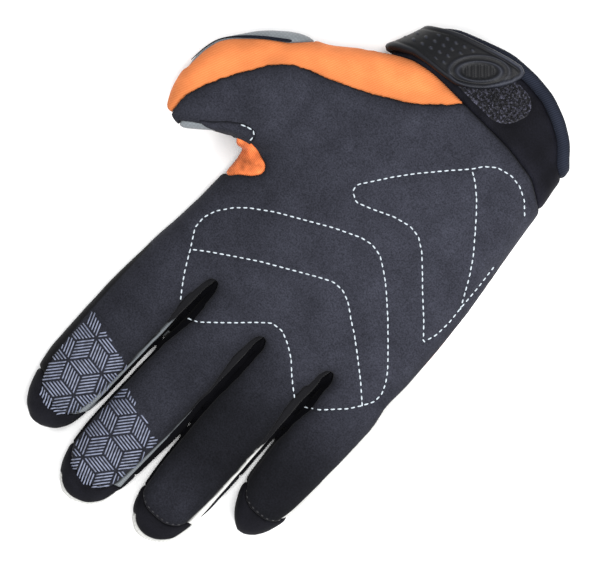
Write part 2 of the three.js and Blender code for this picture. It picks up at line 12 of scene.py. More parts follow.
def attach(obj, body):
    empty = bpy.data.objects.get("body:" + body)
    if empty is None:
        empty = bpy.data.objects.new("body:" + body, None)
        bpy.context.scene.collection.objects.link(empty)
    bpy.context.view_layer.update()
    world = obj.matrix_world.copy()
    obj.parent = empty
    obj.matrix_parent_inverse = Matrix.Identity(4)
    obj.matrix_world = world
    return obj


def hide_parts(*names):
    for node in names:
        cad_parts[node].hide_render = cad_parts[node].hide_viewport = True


bl_info = {
    "name": "Motocross glove",
    "version": (1, 0, 0),
    "blender": (4, 5, 0),
    "location": "View3D > Sidebar > Glove",
    "description": "Builds the cloth, rubber and thread of a motocross glove",
    "category": "Add Mesh",
}

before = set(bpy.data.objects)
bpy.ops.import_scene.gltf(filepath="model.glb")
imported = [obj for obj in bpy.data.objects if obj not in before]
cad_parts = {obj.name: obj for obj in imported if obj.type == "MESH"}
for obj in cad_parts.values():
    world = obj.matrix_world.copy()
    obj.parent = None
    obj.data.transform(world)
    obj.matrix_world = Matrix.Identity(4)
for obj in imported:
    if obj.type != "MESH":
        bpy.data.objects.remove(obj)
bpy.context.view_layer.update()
MM = 0.001

# Sizes of the hand in millimetres, as the solids have them
PALM_WIDTH, HAND_LENGTH, HAND_HEIGHT = 109.0, 146.0, 31.0
THUMB_LENGTH, THUMB_WIDTH, THUMB_HEIGHT = 75.0, 47.0, 29.0
# Gap between wrist and strap, height of the wrist above the table, and how square a section is
STANDOFF, WRIST_LIFT = 1.6, 4.1
SQUARENESS = 2.5

# The forms are fused a little thin and then grown back, which keeps the fingers apart
SHRINK = 0.7

# The seam, gap, stitch, fold and print lines below count in millimetres from the cuff's corner, which lies
# this far from the palm's middle. The other tables count from the palm's middle.
PALM_MIDDLE = np.array([19.65, 68.5])

# along, ulnar, radial, top, lift: shares of hand length, palm width, height and wrist lift
HAND_ROWS = np.array([
    (-0.09, 0.295, 0.305, 0.90, 1), (-0.024, 0.308, 0.317, 0.93, 1), (0.099, 0.328, 0.335, 0.97, 1),
    (0.182, 0.347, 0.370, 1.0, 1), (0.236, 0.366, 0.392, 1.0, 1), (0.268, 0.373, 0.435, 1.0, 0.8),
    (0.305, 0.381, 0.465, 1.0, 0.5),
    (0.387, 0.402, 0.499, 0.98, 0), (0.497, 0.430, 0.512, 0.96, 0), (0.606, 0.452, 0.512, 0.92, 0),
    (0.716, 0.470, 0.506, 0.88, 0), (0.818, 0.490, 0.502, 0.83, 0), (0.908, 0.507, 0.500, 0.75, 0),
    (1.03, 0.512, 0.499, 0.63, 0),
])

# length, width, height, root across, root along, lean, then rows of along, left, right, low, top
FINGERS = {
    "pinky": (63.5, 25.5, 20.0, -0.391, 0.955, 5.0, [
        (-0.4, 0.38, 0.46, 0.06, 0.95), (0, 0.518, 0.505, 0, 1.0), (0.3, 0.502, 0.523, 0, 0.98),
        (0.5, 0.477, 0.495, 0, 0.96), (0.7, 0.439, 0.464, 0, 0.92), (0.82, 0.381, 0.411, 0.02, 0.87),
        (0.91, 0.285, 0.300, 0.08, 0.79), (0.965, 0.175, 0.190, 0.17, 0.69),
        (1.0, 0.045, 0.05, 0.33, 0.53)]),
    "ring": (82.3, 28.0, 20.5, -0.134, 1.024, 4.9, [
        (-0.4, 0.48, 0.44, 0.06, 0.95), (0, 0.534, 0.473, 0, 1.0), (0.3, 0.533, 0.461, 0, 0.98),
        (0.5, 0.535, 0.432, 0, 0.96), (0.7, 0.513, 0.410, 0, 0.93), (0.82, 0.481, 0.372, 0.02, 0.89),
        (0.91, 0.415, 0.300, 0.08, 0.82), (0.965, 0.270, 0.185, 0.17, 0.71), (1.0, 0.07, 0.05, 0.33, 0.53)]),
    "middle": (91.5, 28.5, 21.0, 0.113, 1.024, 1.9, [
        (-0.4, 0.46, 0.46, 0.06, 0.95), (0, 0.491, 0.491, 0, 1.0), (0.3, 0.519, 0.471, 0, 0.98),
        (0.5, 0.542, 0.458, 0, 0.97), (0.7, 0.514, 0.442, 0, 0.94), (0.82, 0.493, 0.408, 0.02, 0.90),
        (0.91, 0.430, 0.315, 0.08, 0.83), (0.965, 0.300, 0.200, 0.17, 0.72), (1.0, 0.08, 0.05, 0.33, 0.53)]),
    "index": (83.4, 27.5, 20.5, 0.378, 1.003, 3.3, [
        (-0.4, 0.46, 0.36, 0.06, 0.95), (0, 0.503, 0.487, 0, 1.0), (0.3, 0.498, 0.519, 0, 0.98),
        (0.5, 0.491, 0.520, 0, 0.97), (0.7, 0.471, 0.503, 0, 0.94), (0.82, 0.427, 0.440, 0.02, 0.90),
        (0.91, 0.355, 0.345, 0.08, 0.83), (0.965, 0.245, 0.230, 0.17, 0.72), (1.0, 0.06, 0.06, 0.33, 0.53)]),
}

# What the left side, the right side and the tip of each finger gain back after smoothing
FINGER_FILL = {"pinky": (0.9, -0.4, 1.4), "ring": (1.1, 0.0, 1.7), "middle": (1.2, 0.0, 1.7),
               "index": (0.4, 1.0, 1.6)}
# What the thumb's outer and inner sides gain back, and where its root lies: across and along
THUMB_FILL, THUMB_ROOT = (0.5, 2.2), (0.297, 0.373)

# aside, forward, outer, inner, middle, half: shares of thumb length, width and height
THUMB_ROWS = np.array([
    (0.0, 0.0, 0.426, 0.468, 0.48, 0.48), (0.187, 0.133, 0.457, 0.511, 0.50, 0.50),
    (0.347, 0.247, 0.525, 0.511, 0.53, 0.50), (0.480, 0.353, 0.495, 0.447, 0.58, 0.47),
    (0.600, 0.460, 0.420, 0.372, 0.64, 0.42), (0.651, 0.580, 0.289, 0.264, 0.70, 0.37),
    (0.677, 0.680, 0.191, 0.166, 0.75, 0.29), (0.688, 0.747, 0.085, 0.085, 0.78, 0.15),
])

# Seam lines seen from above
MOUTH_LINE = [(-26, 12.6), (-16, 10), (-10, 4), (-2, -0.5), (8, -3.8), (18, -4.5), (30, -3.6), (40, 0),
              (52, 4.6), (60, 11), (68, 20)]
WRIST_LINE = [(-26, 33), (-18.5, 29), (-10, 24.5), (5, 22.8), (30, 23.3), (46, 23.4), (56, 25.2),
              (65, 30), (74, 33.8)]
ORANGE_LINE = [(27.5, 21), (30, 23.5), (35, 29.8), (40, 34.7), (45, 38.6), (50, 41.8), (55, 45),
               (60, 47.8), (65, 50.2), (70, 52.6), (75, 55), (80, 56.8), (84, 59), (88, 62.2), (92, 67),
               (95, 73), (98, 78.2), (100, 82), (102, 87), (104, 92), (105.5, 97), (106, 101),
               (105.3, 105), (103, 112)]
PIPING_LINE = [(87, 47), (93, 54.6), (100, 60), (105, 64.6), (110, 69.8), (112.7, 74), (113.8, 80),
               (114.1, 90)]
THUMB_UNDER_LINE = [(82, 94.8), (87, 97.4), (90, 99.2), (95, 102.4), (100, 106.4)]
GUSSET_OUTLINE = [(73.4, 107.2), (70.5, 104), (66.5, 101), (64.3, 98), (64.3, 95.4), (66.5, 93.6),
                  (71, 92.8), (76, 93), (79, 93.6), (81.2, 94.8), (82, 106)]
THUMB_PATCH_OUTLINE = [(75.2, 92.5), (75.4, 89), (77, 87.4), (80, 88), (84, 89.8), (88, 93), (92, 97.4),
                       (96, 100.6), (92, 100.5), (86, 97), (79.8, 94.2)]
LOOP_OUTLINE = [(9.3, 9), (10.6, 14), (13.5, 18), (17.5, 20), (30, 20.4), (46, 20.2), (51, 20), (52, 16),
                (49, 12), (40, 7.5), (30, 4.4), (20, 3), (14, 3.2), (10.6, 5.5)]
STRAP_TAB_OUTLINE = [(82, 36), (66, 30), (61, 26.8), (56, 24.2), (50, 22.9), (43, 22), (37, 21),
                     (32.5, 18.2), (28, 14.2), (24.4, 9.4), (22, 4.6), (21.1, 0.8), (21.7, -1.4),
                     (24.5, -2.3), (30, -1), (36, 0.9), (42, 3), (48, 5.2), (53, 7.8), (58, 11.4),
                     (64, 16), (82, 22)]
STRAP_ANCHOR_OUTLINE = [(82, 36), (66, 30), (56, 26), (37, 24.6), (34, 22.5), (34, 8), (37, 5.8),
                        (50, 7), (58, 11.4), (64, 16), (82, 22)]

# Seam between front and back: across the hand, and height in hand heights
BACK_SEAM = [(-98, 0.36), (-49, 0.36), (-22, 0.26), (44, 0.22), (68, 0.30), (131, 0.42)]

# Lines halfway between neighbouring fingers, from the web to past the tips
FINGER_GAPS = [
    [(-9.6, 132), (-12, 164.9), (-16.3, 214.5)],
    [(18, 141.5), (16.9, 164.9), (13.1, 243.7)],
    [(46.7, 139.4), (45.8, 164.9), (43.1, 243.7)],
]

# The side cloths of two neighbouring fingers meet below the palm as far as this from each web
WEB_REACH = (20.5, 33.0, 29.0)
# Share of that way, half width and top height of where they meet
WEB_ROWS = np.array([(-0.2, 2.6, 17.5), (0, 2.6, 16.5), (0.08, 2.6, 14), (0.25, 2.6, 11.5),
                     (0.6, 2.4, 9.5), (0.9, 2.0, 7), (1.0, 1.0, 3.5)])

# Where the hand's own form ends between the fingers: across and along
HAND_END = np.array([(-60, 58), (-29.6, 63), (-15.7, 70.5), (-1.6, 74), (12.3, 73), (26.8, 71.5), (42.4, 70),
                     (61, 66)])

# Small bulges and hollows of the outline in millimetres: place, reach and push
PUSHES = [((56.5, 26.5), 4.5, (1.3, 1.35)), ((66, -23), 7, (-0.86, 0.83)), ((51, -32.7), 6, (0.86, -0.83)),
          ((62.5, 27), 4.5, (-1.3, -1.35))]

# Black opening between two fingers: distance from its end at the web, and half width
SLOT = np.array([(-0.8, 0), (0, 1.1), (1.5, 1.7), (4, 2.3), (9, 2.8), (14, 9)])

# Seam of a fingertip cap: side in finger widths, back in cap lengths
CAP_LENGTH = 8.0
CAP_SEAM = np.array([(-0.54, 0.88), (-0.44, 0.88), (-0.38, 0.45), (-0.30, 0.20), (-0.18, 0.05),
                     (0.10, 0.05), (0.22, 0.20), (0.30, 0.45), (0.36, 0.88), (0.54, 0.88)])

# How far the back textile rolls up round the outer edge, and the width of the cuff's binding tape
BACK_ROLL, BINDING_WIDTH = 2.7, 5.0

# Lower edge of the crescent of back textile beside the thumb, grey there in painted shade: along and height
CRESCENT_BOTTOM = np.array([(-30, 5), (-10, 18), (-6, 18), (2, 13), (14, 9)])

# Where painted shade turns the pale back grey: along and across. Its orange flashes: start, end, reach
SHADE_FROM = np.array([(-60, -2), (40, 2), (70, 27), (160, 22)])
FLASHES = [(16, 33, 44), (-18, -10, 40)]

# Height at which the caps of the two long fingers end
CAP_BOTTOM = {"ring": 12.2, "middle": 11.6}

# Stitch lines of the palm, and the one on the thumb patch
STITCH_LINES = [
    [(-6, 147.5), (0, 143), (5, 138.5), (10, 135.5), (15, 133.5), (20, 134.2), (25, 139), (30, 144.5),
     (35, 149.5), (40, 154.5), (43.5, 156.3)],
    [(-26.5, 131), (-20, 125.5), (-12, 119.5), (-5, 114.5), (0, 111.5), (5, 108), (10, 106), (15, 106.3),
     (20, 109), (30, 115), (40, 121), (50, 128), (57, 133), (62, 137)],
    [(-12.5, 147.5), (-17, 144), (-20, 140.5), (-24, 136), (-27, 131), (-29, 127), (-29, 123),
     (-27, 119), (-24, 115), (-20, 111), (-10, 101.5), (0, 93), (5, 89.5), (10, 86.5), (15, 85.8),
     (20, 87), (30, 92), (40, 98), (50, 104), (58, 110), (62, 114), (66, 120), (67.5, 125), (67, 130),
     (62, 137.5), (58, 144), (54, 149.5), (50, 154.5)],
    [(-17, 35.5), (-13, 32), (-8, 29.8), (-3, 29.3), (3, 31), (7, 34.5), (9.5, 38.5), (15, 45), (23, 55),
     (28, 62), (33, 70), (35.5, 74), (35, 77), (31, 79), (25, 76.5), (17, 72.5), (10, 70.5), (5, 71),
     (0, 74), (-5, 78.5), (-12, 85), (-20, 92), (-25.5, 97.5), (-27, 92), (-27, 85), (-26, 78),
     (-25, 68), (-23.5, 58)],
    [(-26, 78), (-20, 68), (-15, 61), (-10, 55.5), (-5, 50), (0, 45), (5, 41), (9, 38.8)],
    [(76.2, 91.2), (76.4, 89.2), (77.8, 88.3), (80.5, 89), (83, 90.2)],
]

# How far up each finger painted shade turns its side strips black, and how wide the pale ones are
WEB_SHADE_REACH = {"pinky": 99.0, "ring": 15.0, "middle": 22.0, "index": 8.0}
STRIP_WIDTH = {"ring": 1.2, "middle": 1.4, "index": 1.8}

# Soft folds of the cloth: plan points, width and depth in millimetres
FOLDS = [
    ([(70, 80), (71.5, 73), (74, 65), (78, 60)], 4.0, 1.5),
    ([(66, 84), (68, 76), (70, 69)], 5.0, -0.7),
    ([(82, 90), (87, 94.5), (92, 99)], 1.3, 0.9),
    ([(-10, 134), (-13, 127), (-19, 120)], 3.5, 1.1),
    ([(-13, 140), (-20, 130), (-23, 122)], 4.0, -0.6),
    ([(18, 143), (17, 136), (13, 128)], 4.0, 0.7),
    ([(47, 140), (46, 133), (49, 126)], 4.0, 0.7),
    ([(18, 176), (28, 173.5), (42, 175)], 2.6, 0.35),
    ([(19, 170), (30, 168.5), (43, 169)], 2.6, -0.3),
    ([(-9, 176), (2, 173.5), (13, 175)], 2.8, 0.3),
    ([(-35, 160), (-25, 158), (-14, 160)], 2.8, 0.3),
    ([(49, 172), (60, 170), (72, 172)], 2.8, 0.3),
    ([(-20, 40), (-17, 34), (-12, 27)], 3.5, 0.6),
]

# Grip print fields: side in finger widths and along in finger lengths
PRINT_FIELDS = {
    "index": [(-0.43, 0.535), (0.45, 0.45), (0.44, 0.72), (0.36, 0.84), (0.22, 0.91), (0.0, 0.935),
              (-0.2, 0.915), (-0.36, 0.85), (-0.44, 0.70)],
    "middle": [(-0.45, 0.575), (0.40, 0.495), (0.39, 0.74), (0.30, 0.86), (0.16, 0.915), (-0.04, 0.935),
               (-0.24, 0.915), (-0.40, 0.85), (-0.47, 0.74)],
}
# One corner of the block pattern where six points meet, and the way of its first edge
PRINT_STAR = {"index": (53.0, 208.4), "middle": (31.8, 208.8)}
PRINT_TURN = 54.0

# The strap's oval and its turn, and the lattice of its grip dots
OVAL_MIDDLE, OVAL_TURN = (34, 11), 46
DOT_START, DOT_LATTICE = (41.3, 7.2), np.array([(3.10, 1.28), (-0.62, 2.84)])

# The camera looks straight down from here: place, and the ways of the picture's right and top
CAMERA_PLACE = (3.27, 48.0, 1556)
CAMERA_RIGHT, CAMERA_TOP = (-0.6936, -0.7203, 0), (0.7203, -0.6936, 0)

# Plan corners further out than anything on the glove
FAR = 900.0


def linear(hex_colour):
    """Linear colour of an sRGB hex value."""
    parts = np.array([int(hex_colour[i:i + 2], 16) for i in (1, 3, 5)]) / 255
    return tuple(np.where(parts <= 0.04045, parts / 12.92, ((parts + 0.055) / 1.055) ** 2.4))


def colour(label, hex_colour):
    return FloatVectorProperty(name=label, description=f"Colour of the {label.lower()}", subtype="COLOR",
                               size=3, min=0, max=1, default=linear(hex_colour))


def length(label, text, value):
    return FloatProperty(name=label, description=text, default=value * MM, unit="LENGTH", precision=5, min=0)


class GloveSizes(PropertyGroup):
    cloth: length("Cloth", "Thickness of the sewn cloth", 1.3)
    seam_depth: length("Seam depth", "How deep the cloth dips at a seam", 0.55)
    stitch_length: length("Stitch length", "Length of one visible stitch", 2.2)
    stitch_pitch: length("Stitch pitch", "Distance from stitch to stitch", 2.6)
    thread: length("Thread", "Width of the thread", 0.6)
    strap: length("Strap thickness", "Thickness of the moulded strap", 2.5)
    block_edge: length("Block edge", "Edge of one block of the grip print", 7.85)
    line_pitch: length("Line pitch", "Distance between the lines of the grip print", 1.15)
    line_width: length("Line width", "Width of a line of the grip print", 0.58)
    loops: IntProperty(name="Loops", description="Number of loops on the loop patch", default=2600, min=0)


class GloveColours(PropertyGroup):
    suede: colour("Suede", "#31323b")
    suede_dark: colour("Suede in the pores", "#1d1e24")
    orange: colour("Thumb stretch", "#e6915c")
    orange_dark: colour("Thumb stretch between ribs", "#c9682f")
    gusset: colour("Gusset stretch", "#a84212")
    pale: colour("Pale textile", "#d9d9d6")
    # The grey is the pale textile in painted shade, between the fingers and beside the thumb
    grey: colour("Grey textile", "#858b90")
    black: colour("Black textile", "#0c0c10")
    binding: colour("Binding tape", "#262a36")
    cuff: colour("Cuff fabric", "#0a0a0f")
    rubber: colour("Strap rubber", "#090a0e")
    loop: colour("Loop pile", "#1b1b22")
    thread: colour("Thread", "#bcc6cd")
    print_line: colour("Grip print", "#6e7488")


def sizes():
    return bpy.context.scene.glove_sizes


def colours():
    return bpy.context.scene.glove_colours


# Lines, outlines and fields on the plan


def plan(table):
    """Plan table as millimetres from the palm's middle."""
    return np.array(table, float) - PALM_MIDDLE


def smooth(values, samples, reach):
    """Rows eased through a soft moving average, at evenly spread samples along their length."""
    values = np.asarray(values, float)
    steps = np.r_[0, np.cumsum(np.linalg.norm(np.diff(values[:, :2], axis=0), axis=1))]
    spots = np.linspace(0, steps[-1], samples)
    fine = np.column_stack([np.interp(spots, steps, v) for v in values.T])
    spread = max(int(reach / (steps[-1] / samples) * 2), 1)
    kernel = np.exp(-np.linspace(-2, 2, 2 * spread + 1) ** 2)
    ends = (2 * fine[0] - fine[spread:0:-1], 2 * fine[-1] - fine[-2:-spread - 2:-1])
    padded = np.vstack([ends[0], fine, ends[1]])
    return np.column_stack([np.convolve(c, kernel / kernel.sum(), "valid") for c in padded.T])


def distance(points, line):
    """Distance on the plan from points to a line."""
    best = np.full(len(points), 1e9)
    for a, b in zip(line[:-1], line[1:]):
        run = b - a
        t = np.clip(((points - a) @ run) / max(run @ run, 1e-12), 0, 1)
        best = np.minimum(best, np.hypot(*(points - a - t[:, None] * run).T))
    return best


def inside(points, outline):
    """Which points lie within an outline."""
    x, y = points.T
    found = np.zeros(len(points), bool)
    for (ax, ay), (bx, by) in zip(outline, np.roll(outline, -1, axis=0)):
        crosses = (ay > y) != (by > y)
        found ^= crosses & (x < (bx - ax) * (y - ay) / np.where(by == ay, 1e-12, by - ay) + ax)
    return found


def line_field(points, line, *corners):
    """Signed distance to a line, above nought on the side of the far corners."""
    near = distance(points, line)
    return np.where(inside(points, np.vstack([line, np.array(corners, float).reshape(-1, 2)])), near, -near)


def outline_field(points, outline):
    """Signed distance to a closed outline, above nought within it."""
    near = distance(points, np.vstack([outline, outline[:1]]))
    return np.where(inside(points, outline), near, -near)


def table_field(points, table, samples, reach):
    """Signed distance to the smoothed outline of a plan table."""
    return outline_field(points, smooth(plan(table + table[:1]), samples, reach))


def noise(points, size, seed):
    """Smooth noise from -1 to 1 with features of a size."""
    table = np.random.default_rng(seed).uniform(-1, 1, (32, 32, 32))
    spot = points / size
    low = np.floor(spot).astype(int)
    t = spot - low
    t = t * t * (3 - 2 * t)
    total = 0
    for corner in np.ndindex(2, 2, 2):
        i, j, k = ((low + corner) % 32).T
        total = total + table[i, j, k] * np.prod(np.where(corner, t, 1 - t), axis=1)
    return total


# The skin of the glove


def section(left, right, low, top, flat, sides):
    """Rounded section: sideways and upward places of its points, flat where it rests."""
    turn = 2 * np.pi * (np.arange(sides) + 0.5) / sides
    soft = lambda v: np.sign(v) * np.abs(v) ** (2 / SQUARENESS)
    across = (right - left)[:, None] / 2 + (right + left)[:, None] / 2 * soft(np.cos(turn))
    up = ((top + low - flat) / 2)[:, None] + ((top - low + flat) / 2)[:, None] * soft(np.sin(turn))
    return across, np.maximum(up, low[:, None])


def hand_rings(count, sides, grow=0.0):
    rows = smooth(np.column_stack([HAND_ROWS[:, 0] * HAND_LENGTH, HAND_ROWS[:, 1:] * [
        PALM_WIDTH, PALM_WIDTH, HAND_HEIGHT, WRIST_LIFT]]), count, 9)
    left, right, top = (rows[:, 1:4] + grow).T
    across, up = section(left, right, rows[:, 4] - grow, top, 3.0, sides)
    y = np.repeat((rows[:, 0] - HAND_LENGTH / 2)[:, None], sides, axis=1)
    return np.dstack([across, y, up])


def finger_place(name, side, along):
    """Plan place in a finger's own frame."""
    _, _, _, across, root, lean, _ = FINGERS[name]
    c, s = np.cos(np.radians(lean)), np.sin(np.radians(lean))
    x, y = across * PALM_WIDTH, (root - 0.5) * HAND_LENGTH
    return np.stack([x + side * c - along * s, y + side * s + along * c], axis=-1)


def finger_frame(name, points):
    """Side and along of plan points in a finger's own frame."""
    _, _, _, across, root, lean, _ = FINGERS[name]
    c, s = np.cos(np.radians(lean)), np.sin(np.radians(lean))
    x, y = (points - [across * PALM_WIDTH, (root - 0.5) * HAND_LENGTH]).T
    return x * c + y * s, -x * s + y * c


def finger_edges(name, side, along):
    """How far in from a finger's left and right edge places in its own frame lie."""
    long, wide = FINGERS[name][:2]
    rows = np.array(FINGERS[name][6])
    left = side + np.interp(along / long, rows[:, 0], rows[:, 1]) * wide
    return left, np.interp(along / long, rows[:, 0], rows[:, 2]) * wide - side


def finger_rings(name, count, sides, grow=0.0):
    long, wide, high, _, _, _, rows = FINGERS[name]
    left, right, tip = FINGER_FILL[name]
    rows = np.array(rows) * [long, wide, wide, high, high] + [0, grow, grow, -grow, grow]
    fuller = 1 + 0.9 * np.clip(rows[:, 0] / long, 0, 1) ** 3
    rows[:, 1:3] += fuller[:, None] * [left, right]
    long += tip
    rows[:, 0] *= (long + grow) / (long - tip)
    rows[:, 1:3] = np.maximum(rows[:, 1:3], 0.4)
    rows[:, 3] = np.minimum(rows[:, 3], rows[:, 4] - 0.8)
    # The tip closes as a round cap, so its rows are drawn over a finer table
    spots = (long + grow) * (1 - 1.4 * (1 - np.sin(np.linspace(0, np.pi / 2, count))))
    fine = np.column_stack([spots] + [np.interp(spots, rows[:, 0], v) for v in rows.T[1:]])
    for _ in range(3):
        fine[1:-1, 1:] = (fine[:-2, 1:] + 2 * fine[1:-1, 1:] + fine[2:, 1:]) / 4
    across, up = section(fine[:, 1], fine[:, 2], fine[:, 3], fine[:, 4], 1.8, sides)
    places = finger_place(name, across, np.repeat(fine[:, :1], sides, axis=1))
    return np.dstack([places, up])


def gap_place(index, points):
    """Way along a finger gap from its web, and sideways from its middle, of plan points."""
    line = plan(FINGER_GAPS[index])
    run = (line[1] - line[0]) / np.linalg.norm(line[1] - line[0])
    corners = (line[-1][0], FAR), (FAR, FAR), (FAR, line[0][1] - 60)
    return (points - line[0]) @ run, line_field(points, smooth(line, 40, 8), *corners)


def web_rings(index, grow):
    """Closed form between two fingers, where their side cloths meet."""
    line = plan(FINGER_GAPS[index])
    rows = smooth(WEB_ROWS * [WEB_REACH[index], 1, 1], 60, 1)
    run = (line[1] - line[0]) / np.linalg.norm(line[1] - line[0])
    spot = line[0] + rows[:, :1] * run
    half, low = np.maximum(rows[:, 1], 0.5), np.full(60, 0.8)
    across, up = section(half, half, low, np.maximum(rows[:, 2] + grow, 2), 0.6, 24)
    return np.dstack([spot[:, :1] + across * run[1], spot[:, 1:] - across * run[0], up])


def thumb_rings(count, sides, grow=0.0):
    rows = THUMB_ROWS * [THUMB_LENGTH, THUMB_LENGTH, THUMB_WIDTH, THUMB_WIDTH, THUMB_HEIGHT, THUMB_HEIGHT]
    rows = rows + np.clip((THUMB_ROWS[:, 1:2] - 0.14) / 0.26, 0, 1) * [0, 0, *THUMB_FILL, 0, 0]
    rows = smooth(np.maximum(rows + [0, 0, grow, grow, 0, grow], [0, 0, 0.5, 0.5, 0, 0.5]), count, 4)
    spot = rows[:, :2] + [THUMB_ROOT[0] * PALM_WIDTH, (THUMB_ROOT[1] - 0.5) * HAND_LENGTH]
    run = np.gradient(spot, axis=0)
    run /= np.linalg.norm(run, axis=1, keepdims=True)
    low = np.maximum(rows[:, 4] - rows[:, 5], -grow)
    across, up = section(rows[:, 3], rows[:, 2], low, rows[:, 4] + rows[:, 5], 0.0, sides)
    return np.dstack([spot[:, :1] + across * run[:, 1:], spot[:, 1:] - across * run[:, :1], up])


def ring_mesh(rings):
    """Closed tube through rings: points and triangles."""
    count, sides = rings.shape[:2]
    points = np.vstack([rings.reshape(-1, 3), rings[0].mean(0), rings[-1].mean(0)])
    r, i = np.meshgrid(np.arange(count - 1), np.arange(sides), indexing="ij")
    a, b = (r * sides + i).ravel(), (r * sides + (i + 1) % sides).ravel()
    walls = np.vstack([np.column_stack([b, a, a + sides]), np.column_stack([b, a + sides, b + sides])])
    e = np.arange(sides)
    start, last, end = len(points) - 2, (count - 1) * sides, len(points) - 1
    caps = np.vstack([np.column_stack([np.full(sides, start), e, (e + 1) % sides]),
                      np.column_stack([np.full(sides, end), last + (e + 1) % sides, last + e])])
    return points, np.vstack([walls, caps])


def joined(parts):
    """Several meshes as one."""
    starts = np.cumsum([0] + [len(p) for p, _ in parts[:-1]])
    return np.vstack([p for p, _ in parts]), np.vstack([t + s for (_, t), s in zip(parts, starts)])


def new_mesh(name, points, triangles):
    mesh = bpy.data.meshes.new(name)
    mesh.vertices.add(len(points))
    mesh.vertices.foreach_set("co", (np.asarray(points) * MM).astype(np.float32).ravel())
    mesh.loops.add(triangles.size)
    mesh.loops.foreach_set("vertex_index", triangles.astype(np.int32).ravel())
    mesh.polygons.add(len(triangles))
    mesh.polygons.foreach_set("loop_start", np.arange(0, triangles.size, 3, dtype=np.int32))
    mesh.update(calc_edges=True)
    mesh.validate()
    return mesh


def read_mesh(mesh):
    mesh.calc_loop_triangles()
    points = np.empty(len(mesh.vertices) * 3, np.float32)
    mesh.vertices.foreach_get("co", points)
    triangles = np.empty(len(mesh.loop_triangles) * 3, np.int32)
    mesh.loop_triangles.foreach_get("vertices", triangles)
    return points.reshape(-1, 3).astype(float) / MM, triangles.reshape(-1, 3)


def normals_of(points, triangles):
    a, b, c = (points[triangles[:, i]] for i in range(3))
    face = np.cross(b - a, c - a)
    corners = triangles.ravel()
    total = np.column_stack([np.bincount(corners, np.repeat(f, 3), len(points)) for f in face.T])
    return total / np.maximum(np.linalg.norm(total, axis=1, keepdims=True), 1e-12)


def sides_of(triangles):
    return np.vstack([triangles[:, [0, 1]], triangles[:, [1, 2]], triangles[:, [2, 0]]])


def relaxed(points, triangles, rounds, share):
    """Points eased toward their neighbours, each by its own share."""
    edges = np.unique(np.sort(sides_of(triangles), axis=1), axis=0)
    a, b = np.r_[edges[:, 0], edges[:, 1]], np.r_[edges[:, 1], edges[:, 0]]
    degree = np.maximum(np.bincount(a, minlength=len(points)), 1)[:, None]
    share = np.broadcast_to(share, (len(points),))[:, None]
    for _ in range(rounds):
        mean = np.column_stack([np.bincount(a, points[b, i], len(points)) for i in range(3)]) / degree
        points = points + share * (mean - points)
    return points


@lru_cache(maxsize=None)
def base_skin():
    """Hand, fingers and thumb fused into one smooth closed skin."""
    parts = [ring_mesh(hand_rings(150, 150, -SHRINK)), ring_mesh(thumb_rings(90, 80, -SHRINK))]
    parts += [ring_mesh(finger_rings(name, 90, 72, -SHRINK)) for name in FINGERS]
    parts += [ring_mesh(web_rings(index, -SHRINK)) for index in range(3)]
    points, triangles = parts[0]
    # The hand's own end is a round shoulder just short of the webs
    web = np.interp(points[:, 0], *HAND_END.T)
    y = points[:, 1]
    points[:, 1] = np.where(y > web - 4, web - 4 + 4 * np.tanh((y - web + 4) / 6), y)
    parts[0] = (points, triangles)
    made = bpy.data.objects.new("skin", new_mesh("skin", *joined(parts)))
    bpy.context.scene.collection.objects.link(made)
    fuse = made.modifiers.new("fuse", "REMESH")
    fuse.mode, fuse.voxel_size = "VOXEL", 0.8 * MM
    whole = made.evaluated_get(bpy.context.evaluated_depsgraph_get())
    points, triangles = read_mesh(whole.to_mesh())
    bpy.data.objects.remove(made)
    points = relaxed(points, triangles, 6, 0.5)
    # The crotches between the fingers and at the thumb are eased more than the rest
    x, y, _ = points.T
    root = np.exp(-((y - np.interp(x, *HAND_END.T) + 2) / 7) ** 2) * (x < 56)
    thumb = np.exp(-((np.hypot(x - 54, y - 2)) / 17) ** 2)
    points = relaxed(points, triangles, 40, 0.6 * np.maximum(root, thumb))
    points += SHRINK * normals_of(points, triangles)
    # The stretch panel bulges out just above the strap, and the outer edge is a little fuller
    x, y = points[:, 0], points[:, 1]
    bulge = 2.1 * np.exp(-((y + 30) / 8) ** 2) * np.clip((x - 20) / 25, 0, 1)
    points[:, 0] += bulge * np.clip((y + 38.5) / 4, 0, 1)
    outward = 1.0 * np.exp(-((y - 25) / 32) ** 2) + 0.6 * np.exp(-((y + 48) / 20) ** 2)
    points[:, 0] -= outward * np.clip((-x - 20) / 25, 0, 1)
    for (across, along), reach, push in PUSHES:
        near = np.exp(-(np.hypot(x - across, y - along) / reach) ** 2)
        points[:, :2] += near[:, None] * push
    points[:, 2] = np.maximum(points[:, 2], 0)
    return points, triangles


def cap_seam(name, side):
    """How far along a finger its cap's seam lies, at places across the finger."""
    long, wide = FINGERS[name][:2]
    seam = smooth(CAP_SEAM * [wide, CAP_LENGTH], 60, 1.6)
    return long - CAP_LENGTH - np.interp(side, seam[:, 0], seam[:, 1])


def seam_height(x):
    return np.interp(x, *np.transpose(BACK_SEAM)) * HAND_HEIGHT


